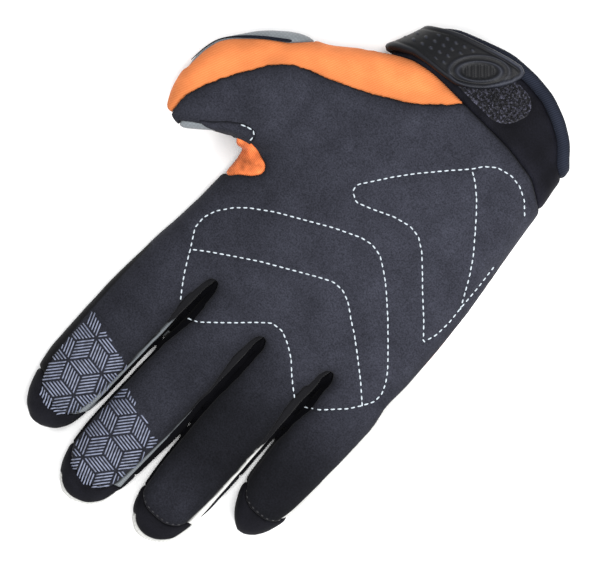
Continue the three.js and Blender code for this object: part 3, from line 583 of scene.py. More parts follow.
def panel_fields(points):
    """Signed distance into each panel, in the order in which they are cut from the skin."""
    flat, z = points[:, :2], points[:, 2]
    # Distances from the mouth and from the cuff's seam into the glove
    ends = (MOUTH_LINE, -44, -56), (WRIST_LINE, -33, -35)
    mouth, hand = (
        line_field(flat, smooth(plan(line), 90, 3), (FAR, right), (FAR, FAR), (-FAR, FAR), (-FAR, left))
        for line, right, left in ends)
    gaps = [gap_place(index, flat) for index in range(3)]
    # The back textile rolls round the outer edge far enough to show from above
    outer_edge = np.clip((-flat[:, 0] - 20) / 8, 0, 1) * np.clip((flat[:, 1] + 25) / 20, 0, 1)
    outer_edge *= np.clip((-gaps[0][1] - 10) / 4, 0, 1)
    front = z - seam_height(flat[:, 0]) - BACK_ROLL * outer_edge
    fields = {"cuff_binding": np.minimum(mouth, BINDING_WIDTH - mouth),
              "wrist_cuff": np.minimum(mouth - BINDING_WIDTH, -hand)}
    # Room within the black opening at each web
    slots = [np.interp(way, *SLOT.T, left=-1) - np.abs(aside) for way, aside in gaps]
    rim = np.full(len(points), -FAR)
    for number, name in enumerate(FINGERS):
        before, after = number > 0, number < len(gaps)
        side, along = finger_frame(name, flat)
        own = along - 2
        if before:
            own = np.minimum(own, gaps[number - 1][1])
        if after:
            own = np.minimum(own, -gaps[number][1])
        # A rim of the back textile shows round the tips of the two long fingers
        cap = along - cap_seam(name, side)
        bottom = CAP_BOTTOM.get(name, -9) - 14 * np.clip((side / FINGERS[name][1] - 0.2) / 0.15, 0, 1)
        rim = np.maximum(rim, np.minimum(np.minimum(own, cap), bottom - z))
        fields[name + "_tip_cap"] = np.minimum(np.minimum(own, cap), z - bottom)
        left, right = finger_edges(name, side, along)
        if before:
            width = np.interp(along, [10, 22], [3.0, STRIP_WIDTH[name]])
            room = [width - left, gaps[number - 1][1], slots[number - 1], front, -cap]
            fields[name + "_outer_strip"] = np.minimum.reduce(room)
        if after:
            width = np.interp(along, [12, 30], [2.6, 0.7])
            room = [width - right, -gaps[number][1], slots[number], front, -cap]
            fields[name + "_inner_strip"] = np.minimum.reduce(room)
    crescent = line_field(flat, smooth(plan(PIPING_LINE), 50, 2), (FAR, 100), (FAR, -FAR))
    # The crescent reaches down to the back of the hand, and narrows to a point at both ends
    height = np.interp(flat[:, 1], *CRESCENT_BOTTOM.T)
    crescent = np.where(flat[:, 0] > 56, crescent + np.clip((height - z) * 4, 0, 9), crescent)
    under_line = smooth(plan(THUMB_UNDER_LINE), 40, 2)
    under = line_field(flat, under_line, under_line[-1] + [0, 9], under_line[0] + [0, 9])
    fields["back_panel"] = np.minimum(hand, np.maximum.reduce([-front, crescent, under, rim]))
    fields["thumb_gusset"] = table_field(flat, GUSSET_OUTLINE, 60, 1.2)
    orange = smooth(plan(ORANGE_LINE), 120, 2)
    orange = line_field(flat, orange, (200, 200), (FAR, 100), (FAR, -FAR), (8, -FAR))
    orange -= 0.22 * noise(points, 0.9, 11) + 0.25 * noise(points, 2.6, 12)
    fields["thumb_side_panel"] = np.minimum(hand, orange)
    fields["palm_panel"] = hand
    taken = np.full(len(points), -1e9)
    for name, field in fields.items():
        fields[name] = np.minimum(field, -taken)
        taken = np.maximum(taken, field)
    return fields


def relief(points, normals, fields):
    """How far the cloth stands out: folds, quilting, seam dips and unevenness."""
    flat = points[:, :2]
    up = np.clip(normals[:, 2] * 1.6, 0, 1)
    out = 0.30 * noise(points, 26, 1) + 0.13 * noise(points, 9, 2) + 0.05 * noise(points, 3.4, 3)
    for line, width, depth in FOLDS:
        out -= up * depth * np.exp(-(distance(flat, smooth(plan(line), 24, 3)) / width) ** 2)
    stitch = np.minimum.reduce([distance(flat, smooth(plan(s), 120, 1.2)) for s in STITCH_LINES])
    out += up * (0.45 * (1 - np.exp(-(stitch / 4.5) ** 2)) - 0.45) * np.exp(-(stitch / 14) ** 2)
    out -= up * 0.38 * np.exp(-(stitch / 0.75) ** 2)
    edge = np.max(np.stack(list(fields.values())), axis=0)
    out -= sizes().seam_depth / MM * np.exp(-(edge / 1.0) ** 2)
    return out


@lru_cache(maxsize=None)
def skin():
    """Skin with its relief, and the signed distance into each panel."""
    points, triangles = base_skin()
    fields = panel_fields(points)
    normals = normals_of(points, triangles)
    lift = relief(points, normals, fields)
    moved = points + normals * lift[:, None]
    moved[:, 2] = np.maximum(moved[:, 2], 0)
    return moved, triangles, normals_of(moved, triangles), fields


@lru_cache(maxsize=None)
def skin_tree():
    points, triangles, _, _ = skin()
    return BVHTree.FromPolygons((points * MM).tolist(), triangles.tolist())


def dropped(flat):
    """Points and normals where plan points meet the skin from above."""
    spots, ways = [], []
    for x, y in flat:
        hit, way, _, _ = skin_tree().ray_cast(Vector((x * MM, y * MM, 0.2)), Vector((0, 0, -1)))
        spots.append(np.array(hit) / MM if hit else (np.nan,) * 3)
        ways.append(np.array(way) if hit else (0, 0, 1))
    return np.array(spots), np.array(ways)


def clipped(triangles, field, *values):
    """Triangles on the positive side of a field, cut along its nought line, with their values."""
    field = np.where(np.abs(field) < 1e-4, 1e-4, field)
    above = field[triangles] > 0
    count = above.sum(1)
    whole = triangles[count == 3]
    one, two = triangles[count == 1], triangles[count == 2]
    roll = lambda t, odd: np.take_along_axis(t, (odd[:, None] + np.arange(3)) % 3, axis=1)
    one = roll(one, np.argmax(above[count == 1], axis=1))
    two = roll(two, np.argmin(above[count == 2], axis=1))
    ends = np.vstack([one[:, [0, 1]], one[:, [0, 2]], two[:, [1, 0]], two[:, [2, 0]]])
    keys, back = np.unique(np.sort(ends, axis=1), axis=0, return_inverse=True)
    back = back.reshape(-1) + len(field)
    start, end = keys.T
    t = field[start] / (field[start] - field[end])
    mixed = []
    for v in (*values, field):
        share = t if v.ndim == 1 else t[:, None]
        mixed.append(np.concatenate([v, v[start] + (v[end] - v[start]) * share]))
    n, m = len(one), len(two)
    ab, ac, ba, ca = back[:n], back[n:2 * n], back[2 * n:2 * n + m], back[2 * n + m:]
    made = np.vstack([whole, np.column_stack([one[:, 0], ab, ac]),
                      np.column_stack([ba, two[:, 1], two[:, 2]]), np.column_stack([ba, two[:, 2], ca])])
    used, flat = np.unique(made, return_inverse=True)
    return flat.reshape(-1, 3), [v[used] for v in mixed]


def without_crumbs(triangles, count):
    """Triangles without the connected bodies that are only crumbs, under a five hundredth of all."""
    label = np.arange(count)
    edges = np.vstack([triangles[:, [0, 1]], triangles[:, [1, 2]]])
    while True:
        low = np.minimum(label[edges[:, 0]], label[edges[:, 1]])
        fresh = label.copy()
        np.minimum.at(fresh, edges[:, 0], low)
        np.minimum.at(fresh, edges[:, 1], low)
        fresh = fresh[fresh]
        if (fresh == label).all():
            break
        label = fresh
    ids, sums = np.unique(label[triangles[:, 0]], return_counts=True)
    return triangles[np.isin(label[triangles[:, 0]], ids[sums > 0.002 * sums.sum()])]


def thickened(points, normals, triangles, outer, inner):
    """Closed sheet between two offsets of a surface, with its rim walled."""
    n = len(points)
    sheet = np.vstack([points + normals * outer[:, None], points - normals * inner[:, None]])
    sides = sides_of(triangles)
    key = np.sort(sides, axis=1) @ np.array([n, 1])
    _, first, times = np.unique(key, return_index=True, return_counts=True)
    a, b = sides[first[times == 1]].T
    walls = np.vstack([np.column_stack([a, a + n, b + n]), np.column_stack([a, b + n, b])])
    return sheet, np.vstack([triangles, triangles[:, ::-1] + n, walls])


def rolled(depth, radius):
    """Drop of a rounded edge at a distance from the rim."""
    t = np.clip(1 - depth / radius, 0, 1)
    return radius * (1 - np.sqrt(np.maximum(1 - t * t, 0)))


# Materials


def add(tree, kind, inputs=(), **settings):
    """Adds a node; its inputs, in order or by name, are values or the outputs that feed them."""
    node = tree.nodes.new(kind)
    for key, value in settings.items():
        setattr(node, key, value)
    for key, value in inputs.items() if isinstance(inputs, dict) else enumerate(inputs):
        if isinstance(value, bpy.types.NodeSocket):
            tree.links.new(value, node.inputs[key])
        else:
            node.inputs[key].default_value = value
    return node


def surface(name, roughness, **sockets):
    """New material: itself, its tree, its shader and its object coordinates."""
    material = bpy.data.materials.new(name)
    material.use_nodes = True
    tree = material.node_tree
    shader = tree.nodes["Principled BSDF"]
    for key, value in {"Roughness": roughness, **sockets}.items():
        shader.inputs[key.replace("_", " ")].default_value = value
    return material, tree, shader, add(tree, "ShaderNodeTexCoord").outputs["Object"]


def dyed(value, share=1.0):
    """Linear colour with its alpha, made lighter or darker."""
    return (*(min(v * share, 1) for v in value[:3]), 1)


def grained(tree, spot, size_mm, detail, span, low, high, roughness=0.5):
    """Grain of a size, and the colour that it mixes from two."""
    grain = add(tree, "ShaderNodeTexNoise", {"Vector": spot, "Scale": 1 / (size_mm * MM),
                                             "Detail": detail, "Roughness": roughness}).outputs[0]
    share = add(tree, "ShaderNodeMapRange", (grain, *span, 0, 1)).outputs[0]
    return grain, add(tree, "ShaderNodeMix", {0: share, 6: low, 7: high}, data_type="RGBA").outputs[2]


def clouds(tree, spot, size_mm, low, high):
    """Soft uneven shade with patches of a size."""
    cloud = add(tree, "ShaderNodeTexNoise", {"Vector": spot, "Scale": 1 / (size_mm * MM), "Detail": 2.0})
    return add(tree, "ShaderNodeMapRange", (cloud.outputs[0], 0.3, 0.7, low, high)).outputs[0]


def painted(tree, name, low=0, high=1):
    """Shade from a painted attribute of the cloth."""
    mark = add(tree, "ShaderNodeAttribute", attribute_name=name).outputs["Fac"]
    return add(tree, "ShaderNodeMapRange", (mark, 0, 1, low, high)).outputs[0]


def dressed(tree, shader, base, shades=(), grain=None, strength=0.0, depth_mm=0.0):
    """Joins the colour, darkened by its shades, and the relief of the grain to the shader."""
    for shade in shades:
        base = add(tree, "ShaderNodeVectorMath", {0: base, "Scale": shade}, operation="SCALE").outputs[0]
    tree.links.new(base, shader.inputs["Base Color"])
    if grain is not None:
        raised = {"Height": grain, "Strength": strength, "Distance": depth_mm * MM}
        tree.links.new(add(tree, "ShaderNodeBump", raised).outputs[0], shader.inputs["Normal"])


@lru_cache(maxsize=None)
def brushed_microsuede():
    """Micro-suede, knitted and brushed: matt, mottled where the nap lies both ways, with painted shade
    toward seams.
    """
    material, tree, shader, spot = surface("brushed_microsuede", 0.95, Specular_IOR_Level=0.08,
                                           Sheen_Weight=0.03, Sheen_Roughness=0.5)
    low, high = dyed(colours().suede_dark), dyed(colours().suede)
    _, base = grained(tree, spot, 0.6, 3.0, (0.32, 0.66), low, high, roughness=0.65)
    # Painted shade: edge darkens the suede toward its seams, rim draws a dark edge line, partly the real cut
    # edge and partly painted shade, and shade paints shade on the fingers and light on the heel
    shades = (clouds(tree, spot, 13, 0.84, 1.14), clouds(tree, spot, 4, 0.92, 1.08),
              painted(tree, "edge", 0.55, 1.0), painted(tree, "rim", 0.2, 1.0),
              painted(tree, "shade", 1.15, 0.0))
    nap = add(tree, "ShaderNodeTexNoise", {"Vector": spot, "Scale": 1 / (0.32 * MM), "Detail": 2.0})
    dressed(tree, shader, base, shades, nap.outputs[0], 0.5, 0.12)
    return material


@lru_cache(maxsize=None)
def fine_black_knit():
    """Fine black warp knit of the fingertips and their seams: smoother and deeper than the suede."""
    material, tree, shader, spot = surface("fine_black_knit", 0.8, Specular_IOR_Level=0.06,
                                           Sheen_Weight=0.008)
    black = colours().black
    grain, base = grained(tree, spot, 0.4, 2.0, (0.3, 0.7), dyed(black, 1.2), dyed(black, 2.4))
    # Painted shade: the knit is darker toward the caps' seams by the edge attribute
    shades = clouds(tree, spot, 8, 0.8, 1.2), painted(tree, "edge", 0.6, 1.0)
    dressed(tree, shader, base, shades, grain, 0.4, 0.1)
    return material


def ribbed(name, high, low, angle, pitch, contrast=1.0, shading=(9, 0.9, 1.06), rim=0.55, gloss=0.15):
    """Stretch knit with fine ribs at an angle: they catch the light, and the valleys stay deep in colour."""
    material, tree, shader, spot = surface(name, 0.85, Specular_IOR_Level=gloss, Sheen_Weight=gloss / 3,
                                           Sheen_Roughness=0.45)
    turn = (0, 0, np.radians(angle))
    turned = add(tree, "ShaderNodeMapping", {"Vector": spot, "Rotation": turn}).outputs[0]
    # A wave texture of this scale has one band in every pitch
    ribs, cross = (add(tree, "ShaderNodeTexWave", {"Vector": turned, "Scale": 0.314 / (step * MM),
                                                   "Distortion": bend, "Detail": 1.0},
                       wave_type="BANDS", bands_direction=way).outputs["Fac"]
                   for way, step, bend in (("X", pitch, 0.6), ("Y", 0.8 * pitch, 0.9)))
    weave = add(tree, "ShaderNodeMath", (ribs, cross), operation="MULTIPLY").outputs[0]
    total = add(tree, "ShaderNodeMath", (ribs, weave), operation="ADD").outputs[0]
    share = add(tree, "ShaderNodeMapRange",
                (total, 0.1, 1.6, 0.5 - contrast / 2, 0.5 + contrast / 2)).outputs[0]
    base = add(tree, "ShaderNodeMix", {0: share, 6: low, 7: high}, data_type="RGBA").outputs[2]
    # Painted shade: black near the webs and along the suede's edge, where the strips lie in shadow
    base = add(tree, "ShaderNodeMix", {0: painted(tree, "painted_shade"), 6: base, 7: dyed(colours().black)},
               data_type="RGBA").outputs[2]
    # Painted shade: the clouds stand for the shade of soft folds, and the edge attribute scales the colour
    # toward the seams, from rim at the seam to full colour further in
    shades = clouds(tree, spot, *shading), painted(tree, "edge", rim, 1.0)
    dressed(tree, shader, base, shades, total, 0.45, 0.14)
    return material


@lru_cache(maxsize=None)
def knitted_back():
    """Warp-knitted pale back textile with orange side flashes dyed in the piece, grey in painted shade on
    the thumb side and black in painted shade between the fingers.
    """
    material, tree, shader, spot = surface("knitted_back_textile", 0.85, Specular_IOR_Level=0.2,
                                           Sheen_Weight=0.15, Sheen_Roughness=0.45)
    holes = add(tree, "ShaderNodeTexVoronoi", {"Vector": spot, "Scale": 1 / (1.1 * MM), "Randomness": 0.25})
    cell = add(tree, "ShaderNodeMapRange", (holes.outputs["Distance"], 0.15, 0.65, 1, 0)).outputs[0]
    base = dyed(colours().pale)
    # The grey mixed in here is painted shade on the pale textile, and the orange flashes are dyed in
    for mark, dye in (("thumb_side_shade", colours().grey), ("flash", colours().orange_dark)):
        base = add(tree, "ShaderNodeMix", {0: painted(tree, mark), 6: base, 7: dyed(dye)},
                   data_type="RGBA").outputs[2]
    dim = add(tree, "ShaderNodeVectorMath", {0: base, "Scale": 0.62}, operation="SCALE").outputs[0]
    share = add(tree, "ShaderNodeMapRange", (cell, 0, 1, 0.35, 1)).outputs[0]
    base = add(tree, "ShaderNodeMix", {0: share, 6: dim, 7: base}, data_type="RGBA").outputs[2]
    # Painted shade: black where the fingers' sides face each other and at the webs
    base = add(tree, "ShaderNodeMix", {0: painted(tree, "painted_shade"), 6: base, 7: dyed(colours().black)},
               data_type="RGBA").outputs[2]
    # Painted shade: darker toward the seams by the edge attribute
    shades = clouds(tree, spot, 12, 0.9, 1.06), painted(tree, "edge", 0.75, 1.0)
    dressed(tree, shader, base, shades, cell, 0.5, 0.2)
    return material


@lru_cache(maxsize=None)
def laminated_cuff():
    """Laminated stretch fabric of the cuff: smooth, near black, with a faint soft gloss and fine grain."""
    material, tree, shader, spot = surface("laminated_cuff_fabric", 0.7, Specular_IOR_Level=0.06,
                                           Sheen_Weight=0.005, Sheen_Roughness=0.4)
    cuff = colours().cuff
    grain, base = grained(tree, spot, 0.5, 2.0, (0.3, 0.7), dyed(cuff, 0.7), dyed(cuff, 1.5))
    # Painted light: the edge attribute makes the cuff lighter toward its edges
    shades = clouds(tree, spot, 12, 0.6, 1.5), painted(tree, "edge", 1.9, 0.9)
    dressed(tree, shader, base, shades, grain, 0.4, 0.1)
    return material


@lru_cache(maxsize=None)
def woven_tape():
    """Woven binding tape: close ribs that run across it."""
    tape = colours().binding
    return ribbed("woven_binding_tape", dyed(tape), dyed(tape, 0.5), 20, 0.8, gloss=0.05)


@lru_cache(maxsize=None)
def moulded_rubber():
    """Moulded rubber of the strap: fine spark-eroded grain from the mould, satin, with painted highlights on
    its raised rings, dots and edges.
    """
    material, tree, shader, spot = surface("moulded_strap_rubber", 0.5, Specular_IOR_Level=0.2, IOR=1.5)
    grain = add(tree, "ShaderNodeTexNoise",
                {"Vector": spot, "Scale": 1 / (0.35 * MM), "Detail": 3.0}).outputs[0]
    low, high = dyed(colours().rubber, 0.85), dyed(colours().rubber, 9)
    # Painted highlight: the rubber is lighter on the raised rings, dots and edges
    base = add(tree, "ShaderNodeMix", {0: painted(tree, "painted_highlight"), 6: low, 7: high},
               data_type="RGBA").outputs[2]
    rough = add(tree, "ShaderNodeMapRange", (grain, 0.3, 0.7, 0.38, 0.6)).outputs[0]
    tree.links.new(rough, shader.inputs["Roughness"])
    dressed(tree, shader, base, (), grain, 0.25, 0.06)
    return material


@lru_cache(maxsize=None)
def nylon_loops():
    """Nylon loop pile: crimped filaments, a little shiny, mixed light and dark."""
    material, tree, shader, spot = surface("nylon_loop_pile", 0.6, Specular_IOR_Level=0.2)
    _, base = grained(tree, spot, 0.9, 2.0, (0.5, 0.78), dyed(colours().loop, 0.4), dyed(colours().loop, 9))
    dressed(tree, shader, base)
    return material


def twisted_thread(name, dye):
    """Twisted sewing thread: soft sheen with a fine twist that darkens its sides."""
    material, tree, shader, spot = surface(name, 0.55, Specular_IOR_Level=0.35, Sheen_Weight=0.2)
    twist, base = grained(tree, spot, 0.3, 1.0, (0.35, 0.6), dyed(dye, 0.62), dyed(dye, 1.05))
    dressed(tree, shader, base, (), twist, 0.5, 0.08)
    return material


@lru_cache(maxsize=None)
def screened_silicone():
    """Screen-printed silicone: thin raised lines, slightly uneven in cover, with a satin face."""
    material, tree, shader, spot = surface("screened_silicone", 0.45, Specular_IOR_Level=0.45)
    ink = colours().print_line
    _, base = grained(tree, spot, 1.6, 3.0, (0.32, 0.58), dyed(ink, 0.55), dyed(ink, 1.08))
    dressed(tree, shader, base)
    return material


def pale_board():
    """Pale smooth board under the glove."""
    material, tree, shader, spot = surface("pale_board", 0.9, Specular_IOR_Level=0.1)
    tone = add(tree, "ShaderNodeTexNoise", {"Vector": spot, "Scale": 6.0, "Detail": 2.0}).outputs[0]
    low, high = dyed(linear("#f4f4f4")), dyed(linear("#ffffff"))
    base = add(tree, "ShaderNodeMix", {0: tone, 6: low, 7: high}, data_type="RGBA").outputs[2]
    dressed(tree, shader, base)
    return material


# Pieces


def piece(name, points, triangles, material, nodes=(), attributes=None):
    """Adds a piece of the glove from a closed mesh, in place of the solids of its nodes."""
    mesh = new_mesh(name, points, triangles)
    mesh.polygons.foreach_set("use_smooth", np.ones(len(mesh.polygons), bool))
    for key, values in (attributes or {}).items():
        mesh.attributes.new(key, "FLOAT", "POINT").data.foreach_set("value", values.astype(np.float32))
    mesh.materials.append(material)
    made = bpy.data.objects.new(name, mesh)
    bpy.context.scene.collection.objects.link(made)
    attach(made, "root")
    if nodes:
        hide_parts(*nodes)


def cloth_panel(name, material, lift=0.0, extra=None):
    """One sewn panel: its region of the skin, thickened, with rolled edges."""
    points, triangles, normals, fields = skin()
    field = fields[name] - 0.05
    triangles, (points, normals, depth) = clipped(triangles, field, points, normals)
    triangles = without_crumbs(triangles, len(points))
    used, flat = np.unique(triangles, return_inverse=True)
    points, normals, depth, triangles = points[used], normals[used], depth[used], flat.reshape(-1, 3)
    normals /= np.maximum(np.linalg.norm(normals, axis=1, keepdims=True), 1e-9)
    outer = lift * np.clip(depth / 0.4, 0, 1) - rolled(depth, 0.6) * 0.8
    cloth = np.full(len(points), sizes().cloth / MM)
    sheet, faces = thickened(points, normals, triangles, outer, cloth)
    sheet[:, 2] = np.maximum(sheet[:, 2], 0)
    # Painted shade: edge grows from a panel's edge inward and the materials scale the colour near seams by
    # it; rim marks a narrow dark line at the very edge, partly real and partly painted shade
    attributes = {"edge": np.clip(depth / 6.0, 0, 1) ** 0.7, "rim": np.clip(depth / 0.7, 0, 1)}
    attributes.update((key, rule(points)) for key, rule in (extra or {}).items())
    piece(name, sheet, faces, material, (name,), {key: np.tile(v, 2) for key, v in attributes.items()})


def tube(line, radius, sides, ways=None):
    """Round tube along a line, with closed ends."""
    run = np.gradient(line, axis=0)
    run /= np.maximum(np.linalg.norm(run, axis=1, keepdims=True), 1e-9)
    up = np.broadcast_to([0, 0, 1.0], line.shape) if ways is None else ways
    side = np.cross(run, up)
    side /= np.maximum(np.linalg.norm(side, axis=1, keepdims=True), 1e-9)
    up = np.cross(side, run)
    radius = np.broadcast_to(radius, (len(line),))[:, None, None]
    turn = 2 * np.pi * np.arange(sides)[:, None] / sides
    rings = line[:, None] + radius * (side[:, None] * np.cos(turn) + up[:, None] * np.sin(turn))
    points, triangles = ring_mesh(rings)
    return points, triangles[:, ::-1]


def spaced(line, step):
    """Points at even steps along a plan line, with their directions."""
    runs = np.r_[0, np.cumsum(np.linalg.norm(np.diff(line, axis=0), axis=1))]
    spots = np.arange(0, runs[-1], step)
    at = lambda s: np.column_stack([np.interp(s, runs, line[:, i]) for i in range(line.shape[1])])
    ways = at(np.minimum(spots + 0.3, runs[-1])) - at(np.maximum(spots - 0.3, 0))
    return at(spots), ways / np.maximum(np.linalg.norm(ways, axis=1, keepdims=True), 1e-9)


def stitch_mesh(spots, ways, ups, long, wide, high):
    """Small rounded stitches at places on the cloth."""
    sides, rings = 8, 5
    turn = 2 * np.pi * np.arange(sides) / sides
    parts = []
    for spot, way, up in zip(spots, ways, ups):
        way = way - up * (way @ up)
        way /= max(np.linalg.norm(way), 1e-9)
        side = np.cross(up, way)
        t = np.linspace(-1, 1, rings)
        girth = np.sqrt(np.maximum(1 - np.abs(t) ** 3, 0.06))
        centre = spot + way * (t * long / 2)[:, None] + up * (high * 0.25 - high * 0.7 * t ** 4)[:, None]
        ring = centre[:, None] + girth[:, None, None] * (
            side * (wide / 2 * np.cos(turn))[:, None] + up * (high / 2 * np.sin(turn))[:, None])
        points, triangles = ring_mesh(ring)
        parts.append((points, triangles[:, ::-1]))
    return joined(parts)


def stitches_on(lines, long, pitch, wide, high):
    """Stitches along plan lines, laid on the skin from above."""
    spots, ways, ups = [], [], []
    for line in lines:
        flat, run = spaced(smooth(line, max(int(len(line) * 14), 60), 1.2), pitch)
        place, up = dropped(flat)
        ahead, _ = dropped(flat + run * 0.5)
        good = ~np.isnan(place[:, 0]) & ~np.isnan(ahead[:, 0])
        way = (ahead - place)[good]
        spots.append(place[good])
        ways.append(way / np.maximum(np.linalg.norm(way, axis=1, keepdims=True), 1e-9))
        ups.append(up[good])
    return stitch_mesh(np.vstack(spots), np.vstack(ways), np.vstack(ups), long, wide, high)


class GloveOperator:
    bl_options = {"REGISTER", "UNDO"}

    def execute(self, context):
        self.make()
        return {"FINISHED"}


class GLOVE_OT_palm(GloveOperator, Operator):
    """Suede palm with the finger fronts and the thumb front, and the fingertip caps"""
    bl_idname = "glove.palm"
    bl_label = "Palm"

    def make(self):
        cloth_panel("palm_panel", brushed_microsuede(), lift=0.35, extra={"shade": self.shade})
        for name in FINGERS:
            cloth_panel(name + "_tip_cap", fine_black_knit())

    @staticmethod
    def shade(points):
        """Painted shade on the suede: darker on the fingers, at the thumb and at the index finger's free
        edge, with painted light on the heel.
        """
        flat = points[:, :2]
        across, ahead = (flat + PALM_MIDDLE).T
        spot = lambda x, y, reach: np.exp(-(np.hypot(*(flat - plan((x, y))).T) / reach) ** 2)
        painted_shade = 0.13 - 0.13 * spot(-2, 62, 50) + 0.22 * spot(72, 112, 28)
        # Painted shade grows on the fingers from their roots on, most of all on the two small ones
        fingers = np.clip((ahead - 128) / 45, 0, 1)
        deep = np.interp(across, [-12, 10, 16, 22], [0.66, 0.64, 0.5, 0.30])
        deep -= 0.24 * np.clip((ahead - 188) / 20, 0, 1) * (deep > 0.4)
        painted_shade += deep * fingers * fingers * (3 - 2 * fingers)
        side, along = finger_frame("index", flat)
        free = finger_edges("index", side, along)[1]
        band = np.interp(along, [8, 40, 75], [0.4, 1.2, 2.4])
        painted_shade += 0.7 * np.clip((band - free) / 0.7 + 0.5, 0, 1) * (along > 4)
        return np.clip(painted_shade, 0, 0.9)


class GLOVE_OT_back(GloveOperator, Operator):
    """Knitted back of the hand, which shows beside the thumb and at the outer edge"""
    bl_idname = "glove.back"
    bl_label = "Back"

    def make(self):
        rules = {"thumb_side_shade": self.thumb_side_shade, "flash": self.flash, "painted_shade": self.painted_shade}
        cloth_panel("back_panel", knitted_back(), extra=rules)

    @staticmethod
    def thumb_side_shade(points):
        """Painted shade: grey on the thumb side."""
        return np.clip((points[:, 0] - np.interp(points[:, 1], *SHADE_FROM.T)) / 0.8 + 0.5, 0, 1)

    @staticmethod
    def flash(points):
        """Orange wedges that run in from the outer edge."""
        x, y = points[:, 0], points[:, 1]
        reach = x + 58
        wedges = [np.minimum.reduce([y - low - 0.5 * reach, high + 0.25 * reach - y, deep - reach])
                  for low, high, deep in FLASHES]
        return np.clip(np.maximum.reduce(wedges) / 0.8 + 0.5, 0, 1)

    @staticmethod
    def painted_shade(points):
        """Painted shade: black where a finger's side faces its neighbour on the thumb side, and at the webs.
        """
        total = np.zeros(len(points))
        for index in range(3):
            way, aside = gap_place(index, points[:, :2])
            near = np.clip(8 - np.abs(aside), 0, 1) * np.clip(way + 4, 0, 1)
            near *= np.clip(points[:, 2] - 1.2, 0, 1)
            facing = np.maximum(-aside + 0.3, 0.6 * WEB_REACH[index] - way)
            total = np.maximum(total, near * np.clip(facing, 0, 1))
        return total


class GLOVE_OT_thumb(GloveOperator, Operator):
    """Orange stretch panels, patch and piping of the thumb"""
    bl_idname = "glove.thumb"
    bl_label = "Thumb"

    def make(self):
        c = colours()
        rib = ribbed("ribbed_thumb_stretch", dyed(c.orange), dyed(c.orange_dark), angle=62, pitch=0.62,
                     contrast=0.6, shading=(13, 0.82, 1.1), rim=0.7, gloss=0.1)
        cloth_panel("thumb_side_panel", rib)
        deep = ribbed("ribbed_gusset_stretch", dyed(c.orange, 0.62), dyed(c.gusset), angle=100, pitch=0.62,
                      contrast=0.6, shading=(3.5, 0.6, 1.2), rim=1.9)
        cloth_panel("thumb_gusset", deep)
        self.make_patch()
        self.make_piping()

    def make_patch(self):
        points, triangles, normals, _ = skin()
        field = np.minimum(table_field(points[:, :2], THUMB_PATCH_OUTLINE, 60, 1.5), points[:, 2] - 14)
        triangles, (points, normals, depth) = clipped(triangles, field, points, normals)
        outer = 0.95 - rolled(depth, 0.7)
        sheet, faces = thickened(points, normals, triangles, outer, np.full(len(points), -0.3))
        # Painted shade toward the patch's edges, and a dark edge line, partly real and partly painted shade
        shades = {"edge": np.tile(np.clip(depth / 5, 0.3, 1), 2),
                  "rim": np.tile(np.clip(depth / 0.6, 0, 1), 2)}
        piece("thumb_patch", sheet, faces, brushed_microsuede(), ("thumb_patch",), shades)

    def make_piping(self):
        line = smooth(plan(PIPING_LINE), 60, 2)[10:]
        spots, ways = dropped(line - [0.2, 0])
        good = ~np.isnan(spots[:, 0])
        spots = spots[good] + ways[good] * 0.5
        for _ in range(6):
            spots[1:-1] = (spots[:-2] + 2 * spots[1:-1] + spots[2:]) / 4
        share = np.linspace(0, 1, len(spots))
        girth = np.interp(share, [0, 0.03, 0.42, 0.6, 1], [0.35, 0.62, 0.55, 0.3, 0.15])
        points, triangles = tube(spots, girth, 10)
        piece("thumb_piping", points, triangles, woven_tape(), ("thumb_piping",))


class GLOVE_OT_finger_strips(GloveOperator, Operator):
    """Stretch strips along the sides of the fingers"""
    bl_idname = "glove.finger_strips"
    bl_label = "Finger strips"

    def make(self):
        c = colours()
        # The grey strips are the pale stretch in painted shade, in the narrow gaps between the fingers
        pale, grey, black = (
            ribbed(f"knitted_{name}_strip", dyed(dye, high), dyed(dye, low), 90, 0.8, rim=rim, gloss=gloss)
            for name, dye, high, low, rim, gloss in (("pale", c.pale, 1, 0.8, 0.9, 0.15),
                                                     ("grey", c.grey, 0.8, 0.6, 0.9, 0.15),
                                                     ("black", c.black, 1, 0.6, 0.55, 0.03)))
        for name, look, slot in (
                ("pinky_inner", black, "black_stretch"), ("ring_outer", pale, "pale_stretch"),
                ("ring_inner", black, "black_stretch"), ("middle_outer", grey, "grey_stretch"),
                ("middle_inner", black, "black_stretch"), ("index_outer", grey, "grey_stretch")):
            cloth_panel(name + "_strip", look, extra={"painted_shade": self.web_shade(name.split("_")[0])})

    @staticmethod
    def web_shade(finger):
        """Rule for the painted shade that turns the stretch black from the web on and along the suede."""
        def painted_shade(points):
            side, along = finger_frame(finger, points[:, :2])
            left = finger_edges(finger, side, along)[0]
            reach = WEB_SHADE_REACH[finger]
            pale = np.interp(along, [reach, reach + 14], [-1.4, STRIP_WIDTH.get(finger, 0) - 0.1])
            return np.clip((left - pale) / 0.35 + 0.5, 0, 1)
        return painted_shade


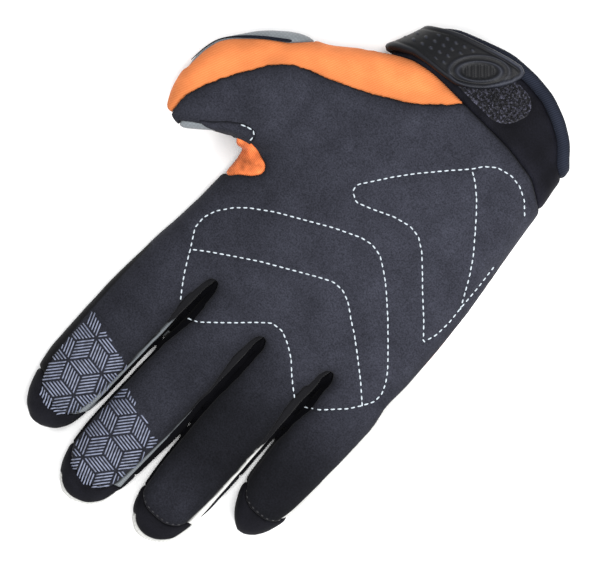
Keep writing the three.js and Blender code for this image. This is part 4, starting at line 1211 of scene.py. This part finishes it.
class GLOVE_OT_cuff(GloveOperator, Operator):
    """Wrist cuff and the tape that binds its mouth"""
    bl_idname = "glove.cuff"
    bl_label = "Cuff"

    def make(self):
        cloth_panel("wrist_cuff", laminated_cuff())
        self.make_binding()

    def make_binding(self):
        points, triangles, normals, fields = skin()
        triangles, (points, normals, depth) = clipped(triangles, fields["cuff_binding"], points, normals)
        mouth = line_field(points[:, :2], smooth(plan(MOUTH_LINE), 90, 3), (FAR, FAR), (-FAR, FAR))
        # The tape is folded round the mouth, and its other edge lies flat on the cuff
        fold = np.sqrt(np.clip(1 - (1 - np.clip(mouth / 1.7, 0, 1)) ** 2, 0, 1))
        edge = rolled(np.maximum(BINDING_WIDTH - mouth, 0), 0.8)
        outer = 0.6 * fold - edge * 0.6 - 0.9 * (1 - fold)
        sheet, faces = thickened(points, normals, triangles, outer, 0.9 + 1.5 * fold)
        # Painted shade: the tape is darker toward its edges by the edge attribute
        piece("cuff_binding", sheet, faces, woven_tape(), ("cuff_binding",),
              {"edge": np.tile(np.clip(depth / 2, 0.4, 1), 2)})


class GLOVE_OT_closure(GloveOperator, Operator):
    """Loop patch and moulded strap of the wrist closure"""
    bl_idname = "glove.closure"
    bl_label = "Closure"

    def make(self):
        self.make_loop_patch()
        self.make_strap()

    def make_loop_patch(self):
        points, triangles, normals, _ = skin()
        outline = smooth(plan(LOOP_OUTLINE + LOOP_OUTLINE[:1]), 90, 1.5)
        field = np.minimum(outline_field(points[:, :2], outline), points[:, 2] - 16)
        triangles, (points, normals, depth) = clipped(triangles, field, points, normals)
        outer = 0.75 - rolled(depth, 0.5)
        sheet, faces = thickened(points, normals, triangles, outer, np.full(len(points), -0.25))
        rng = np.random.default_rng(7)
        low, high = outline.min(0), outline.max(0)
        flat = rng.uniform(low, high, (sizes().loops * 3, 2))
        flat = flat[outline_field(flat, outline) > 0.6]
        # Loops under the strap are pressed flat and hidden, so they are left out
        flat = flat[table_field(flat, STRAP_TAB_OUTLINE, 120, 1) < -0.3]
        spots, ups = dropped(flat[:sizes().loops])
        good = ~np.isnan(spots[:, 0])
        parts = [(sheet, faces)]
        for spot, up in zip(spots[good], ups[good]):
            turn, lean = rng.uniform(0, 2 * np.pi), rng.uniform(-0.5, 0.5)
            side = np.array([np.cos(turn), np.sin(turn), lean])
            side -= up * (side @ up)
            side /= np.linalg.norm(side)
            arc = np.linspace(-0.2, np.pi + 0.2, 6)
            size, rise = rng.uniform(0.28, 0.5), rng.uniform(0.3, 0.55)
            line = spot + up * 0.55 + side * (np.cos(arc) * size)[:, None]
            line = line + up * (np.sin(arc) * rise)[:, None]
            parts.append(tube(line, 0.075, 3, np.broadcast_to(np.cross(side, up), line.shape)))
        points, triangles = joined(parts)
        piece("loop_patch", points, triangles, nylon_loops(), ("loop_patch",))

    def make_strap(self):
        rings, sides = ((170, 420))
        grid = hand_rings(900, sides, STANDOFF)
        rows = np.interp(np.linspace(-74, -30, rings), grid[:, 0, 1], np.arange(len(grid)))
        low = np.floor(rows).astype(int)
        share = (rows - low)[:, None, None]
        grid = grid[low] * (1 - share) + grid[np.minimum(low + 1, len(grid) - 1)] * share
        points = grid.reshape(-1, 3)
        r, i = np.meshgrid(np.arange(rings - 1), np.arange(sides), indexing="ij")
        a, b = (r * sides + i).ravel(), (r * sides + (i + 1) % sides).ravel()
        triangles = np.vstack([np.column_stack([b, a, a + sides]),
                               np.column_stack([b, a + sides, b + sides])])
        normals = normals_of(points, triangles)
        flat = points[:, :2]
        tab = table_field(flat, STRAP_TAB_OUTLINE, 160, 1.2)
        anchor = table_field(flat, STRAP_ANCHOR_OUTLINE, 120, 1.2)
        field = np.where(points[:, 2] > 0.5 * HAND_HEIGHT, tab, anchor)
        triangles, (points, normals, depth) = clipped(triangles, field, points, normals)
        flat = points[:, :2]
        top = np.clip((points[:, 2] - 0.5 * HAND_HEIGHT) / 4, 0, 1)
        detail, painted_highlight = self.strap_relief(flat, depth, top)
        outer = sizes().strap / MM - rolled(depth, 1.1) * 1.1 + detail
        sheet, faces = thickened(points, normals, triangles, outer, np.zeros(len(points)))
        sheet[:, 2] = np.maximum(sheet[:, 2], 0)
        piece("wrist_strap", sheet, faces, moulded_rubber(), ("wrist_strap",),
              {"painted_highlight": np.tile(painted_highlight, 2)})

    @staticmethod
    def strap_relief(flat, depth, top):
        """Moulded relief, with its bead, dots and oval boss of plain ribs, and the painted highlight at each
        place.
        """
        turn = np.radians(OVAL_TURN)
        along, across = np.array([np.cos(turn), np.sin(turn)]), np.array([-np.sin(turn), np.cos(turn)])
        spot = flat - plan(OVAL_MIDDLE)
        u, v = spot @ along, spot @ across
        ring = lambda a, b: (np.hypot(u / a, v / b) - 1) * np.sqrt(a * b)
        hill = lambda place, reach: np.exp(-(place / reach) ** 2)
        bead = hill(depth - 1.9, 0.5) * -0.35
        oval = 0.6 * hill(ring(8.3, 3.7), 0.5) + 0.35 * hill(ring(11.4, 6.0), 0.45)
        within = np.clip(-ring(7.4, 2.9) / 0.6, 0, 1)
        oval += within * 0.25 * np.clip(np.cos(u * 2 * np.pi / 2.4) * 2 - 0.6, -0.3, 1) - 0.25 * within
        cell = (flat - plan(DOT_START)) @ np.linalg.inv(DOT_LATTICE)
        off = (cell - np.round(cell)) @ DOT_LATTICE
        dots = np.exp(-((off ** 2).sum(axis=1) / 0.55 ** 2) ** 2) * 0.42
        dots *= (depth > 3.0) & (ring(12.6, 7.0) > 0.6) & (u > 2)
        lip = 0.5 * hill(depth - 0.9, 0.8) * np.clip((-u - 4) / 5, 0, 1)
        # Painted highlight on the oval's rings, the dots and the rounded edges
        highlight_share = 0.55 * np.clip(oval / 0.5, 0, 1) + 0.8 * dots / 0.42 + 0.25 * hill(depth - 1.0, 0.4)
        highlight_share += hill(depth - 0.8, 0.6) * np.clip((-u - 2) / 6, 0, 1)
        return top * (bead + oval + dots + lip), top * np.clip(highlight_share, 0, 1)


class GLOVE_OT_grip_print(GloveOperator, Operator):
    """Raised grip lines in a pattern of blocks on two fingertips"""
    bl_idname = "glove.grip_print"
    bl_label = "Grip print"

    def make(self):
        for name in ("index", "middle"):
            self.make_print(name)

    def make_print(self, name):
        s = sizes()
        edge, pitch, wide = s.block_edge / MM, s.line_pitch / MM, s.line_width / MM
        long, width = FINGERS[name][:2]
        table = np.array(PRINT_FIELDS[name] + PRINT_FIELDS[name][:1]) * [width, long]
        outline = smooth(finger_place(name, *table.T), 90, 1.0)
        star = plan(PRINT_STAR[name])
        turn = np.radians(PRINT_TURN + 60 * np.arange(4))
        way = np.column_stack([np.cos(turn), np.sin(turn)])
        # Two steps carry the star to the stars beside it
        steps = np.array([way[0] + way[1], way[1] + way[2]]) * edge
        parts = []
        for i in range(-5, 6):
            for j in range(-5, 6):
                centre = star + i * steps[0] + j * steps[1]
                for k in range(3):
                    parts += self.block(centre, way[k] * edge, way[k + 1] * edge, outline, pitch, wide)
        points, triangles = joined(parts)
        print_name = name + "_grip_print"
        piece(print_name, points, triangles, screened_silicone(), (print_name,))

    @staticmethod
    def block(corner, first, second, outline, pitch, wide):
        """Lines that fill one block, parallel to its first edge, cut off at the print's outline."""
        middle = (corner + (first + second) / 2)[None]
        if distance(middle, outline)[0] > 12 and not inside(middle, outline)[0]:
            return []
        margin = 0.078
        count = int(round(np.linalg.norm(second) * np.sin(np.pi / 3) * (1 - 2 * margin) / pitch)) + 1
        # Lines end along the block's second edge, so their width is laid out along it
        aside = second / np.linalg.norm(second) / np.sin(np.pi / 3)
        half = wide / 2
        made = []
        for t in np.linspace(margin, 1 - margin, count):
            start = corner + second * t + first * margin
            flat = start + np.linspace(0, 1, 9)[:, None] * first * (1 - 2 * margin)
            keep = outline_field(flat, outline) > 0.1
            if keep.sum() < 3:
                continue
            place, up = dropped(flat[keep])
            if np.isnan(place).any():
                continue
            side = np.append(aside, 0) - up * (up[:, :2] @ aside)[:, None]
            profile = [(-half, 0.25), (-half * 0.8, 0.62), (half * 0.8, 0.62), (half, 0.25)]
            made.append(ring_mesh(np.stack([place + side * a + up * b for a, b in profile], axis=1)))
        return made


class GLOVE_OT_stitching(GloveOperator, Operator):
    """White quilting stitches of the palm and black stitches of the cuff and the fingertips"""
    bl_idname = "glove.stitching"
    bl_label = "Stitching"

    def make(self):
        s = sizes()
        lines = [plan(line) for line in STITCH_LINES]
        look = (s.stitch_length / MM, s.stitch_pitch / MM, s.thread / MM, 0.5)
        quilting, patch = stitches_on(lines[:-1], *look), stitches_on(lines[-1:], *look)
        # The last line is sewn on the thumb patch, which stands proud of the palm
        points, triangles = joined([quilting, (patch[0] + [0, 0, 0.9], patch[1])])
        white = twisted_thread("white_thread", colours().thread)
        piece("palm_stitching", points + [0, 0, 0.28], triangles, white)
        self.make_black_stitching()

    def make_black_stitching(self):
        mouth = smooth(plan(MOUTH_LINE), 200, 3)
        run = np.gradient(mouth, axis=0)
        run /= np.linalg.norm(run, axis=1, keepdims=True)
        hem = (mouth + np.column_stack([-run[:, 1], run[:, 0]]) * 3.9)[14:-30]
        tips = []
        for name in FINGERS:
            side = np.linspace(-0.36, 0.30, 24) * FINGERS[name][1]
            tips.append(finger_place(name, side, cap_seam(name, side) - 1.2))
        points, triangles = stitches_on([hem, *tips], 1.5, 2.3, 0.5, 0.4)
        black = twisted_thread("black_thread", dyed(colours().black, 1.8))
        piece("black_stitching", points + [0, 0, 0.25], triangles, black)


class GLOVE_OT_stage(GloveOperator, Operator):
    """Pale floor, soft light and the camera"""
    bl_idname = "glove.stage"
    bl_label = "Stage"

    def make(self):
        scene = bpy.context.scene
        corners = np.array([(-1, -1, 0), (1, -1, 0), (1, 1, 0), (-1, 1, 0)]) * 2500.0 + [0, 0, -0.2]
        mesh = new_mesh("floor", corners, np.array([(0, 1, 2), (0, 2, 3)]))
        mesh.materials.append(pale_board())
        floor = bpy.data.objects.new("floor", mesh)
        scene.collection.objects.link(floor)
        world = bpy.data.worlds.new("studio")
        scene.world = world
        world.use_nodes = True
        sky = world.node_tree.nodes["Background"]
        sky.inputs[0].default_value, sky.inputs[1].default_value = (1.0, 1.0, 1.0, 1), 0.75
        # The overhead light is a long box along the fingers, so that it also reaches between them
        for name, spot, wide, long, power in (("side", (-0.7, 0.1, 0.75), 0.5, 0.5, 9.0),
                                              ("overhead", (0.0, -0.05, 1.1), 0.22, 0.9, 10.0)):
            light = bpy.data.lights.new(name, "AREA")
            light.shape, light.size, light.size_y, light.energy = "RECTANGLE", wide, long, power
            lamp = bpy.data.objects.new(name, light)
            lamp.location = Vector(spot)
            lamp.rotation_euler = (-Vector(spot)).to_track_quat("-Z", "Y").to_euler()
            scene.collection.objects.link(lamp)
        camera = bpy.data.cameras.new("camera")
        camera.lens, camera.sensor_width, camera.clip_end = 240, 36, 10
        eye = bpy.data.objects.new("camera", camera)
        turn = Matrix((CAMERA_RIGHT, CAMERA_TOP, (0, 0, 1))).transposed().to_4x4()
        eye.matrix_world = Matrix.Translation(Vector(CAMERA_PLACE) * MM) @ turn
        scene.collection.objects.link(eye)
        scene.camera = eye
        scene.view_settings.view_transform = "Standard"


OPERATORS = (GLOVE_OT_palm, GLOVE_OT_back, GLOVE_OT_thumb, GLOVE_OT_finger_strips, GLOVE_OT_cuff,
             GLOVE_OT_closure, GLOVE_OT_grip_print, GLOVE_OT_stitching, GLOVE_OT_stage)


class GLOVE_PT_panel(Panel):
    bl_label = "Motocross glove"
    bl_idname = "GLOVE_PT_panel"
    bl_space_type = "VIEW_3D"
    bl_region_type = "UI"
    bl_category = "Glove"

    def draw(self, context):
        for group in (context.scene.glove_sizes, context.scene.glove_colours):
            for key in group.bl_rna.properties.keys():
                if key not in ("rna_type", "name"):
                    self.layout.prop(group, key)
        for operator in OPERATORS:
            self.layout.operator(operator.bl_idname)


CLASSES = (GloveSizes, GloveColours, *OPERATORS, GLOVE_PT_panel)


def register():
    for made in CLASSES:
        bpy.utils.register_class(made)
    bpy.types.Scene.glove_sizes = PointerProperty(type=GloveSizes)
    bpy.types.Scene.glove_colours = PointerProperty(type=GloveColours)


def unregister():
    del bpy.types.Scene.glove_sizes, bpy.types.Scene.glove_colours
    for made in reversed(CLASSES):
        bpy.utils.unregister_class(made)


def main():
    register()
    for operator in OPERATORS:
        getattr(bpy.ops.glove, operator.bl_idname.split(".")[1])()


if __name__ == "__main__":
    main()
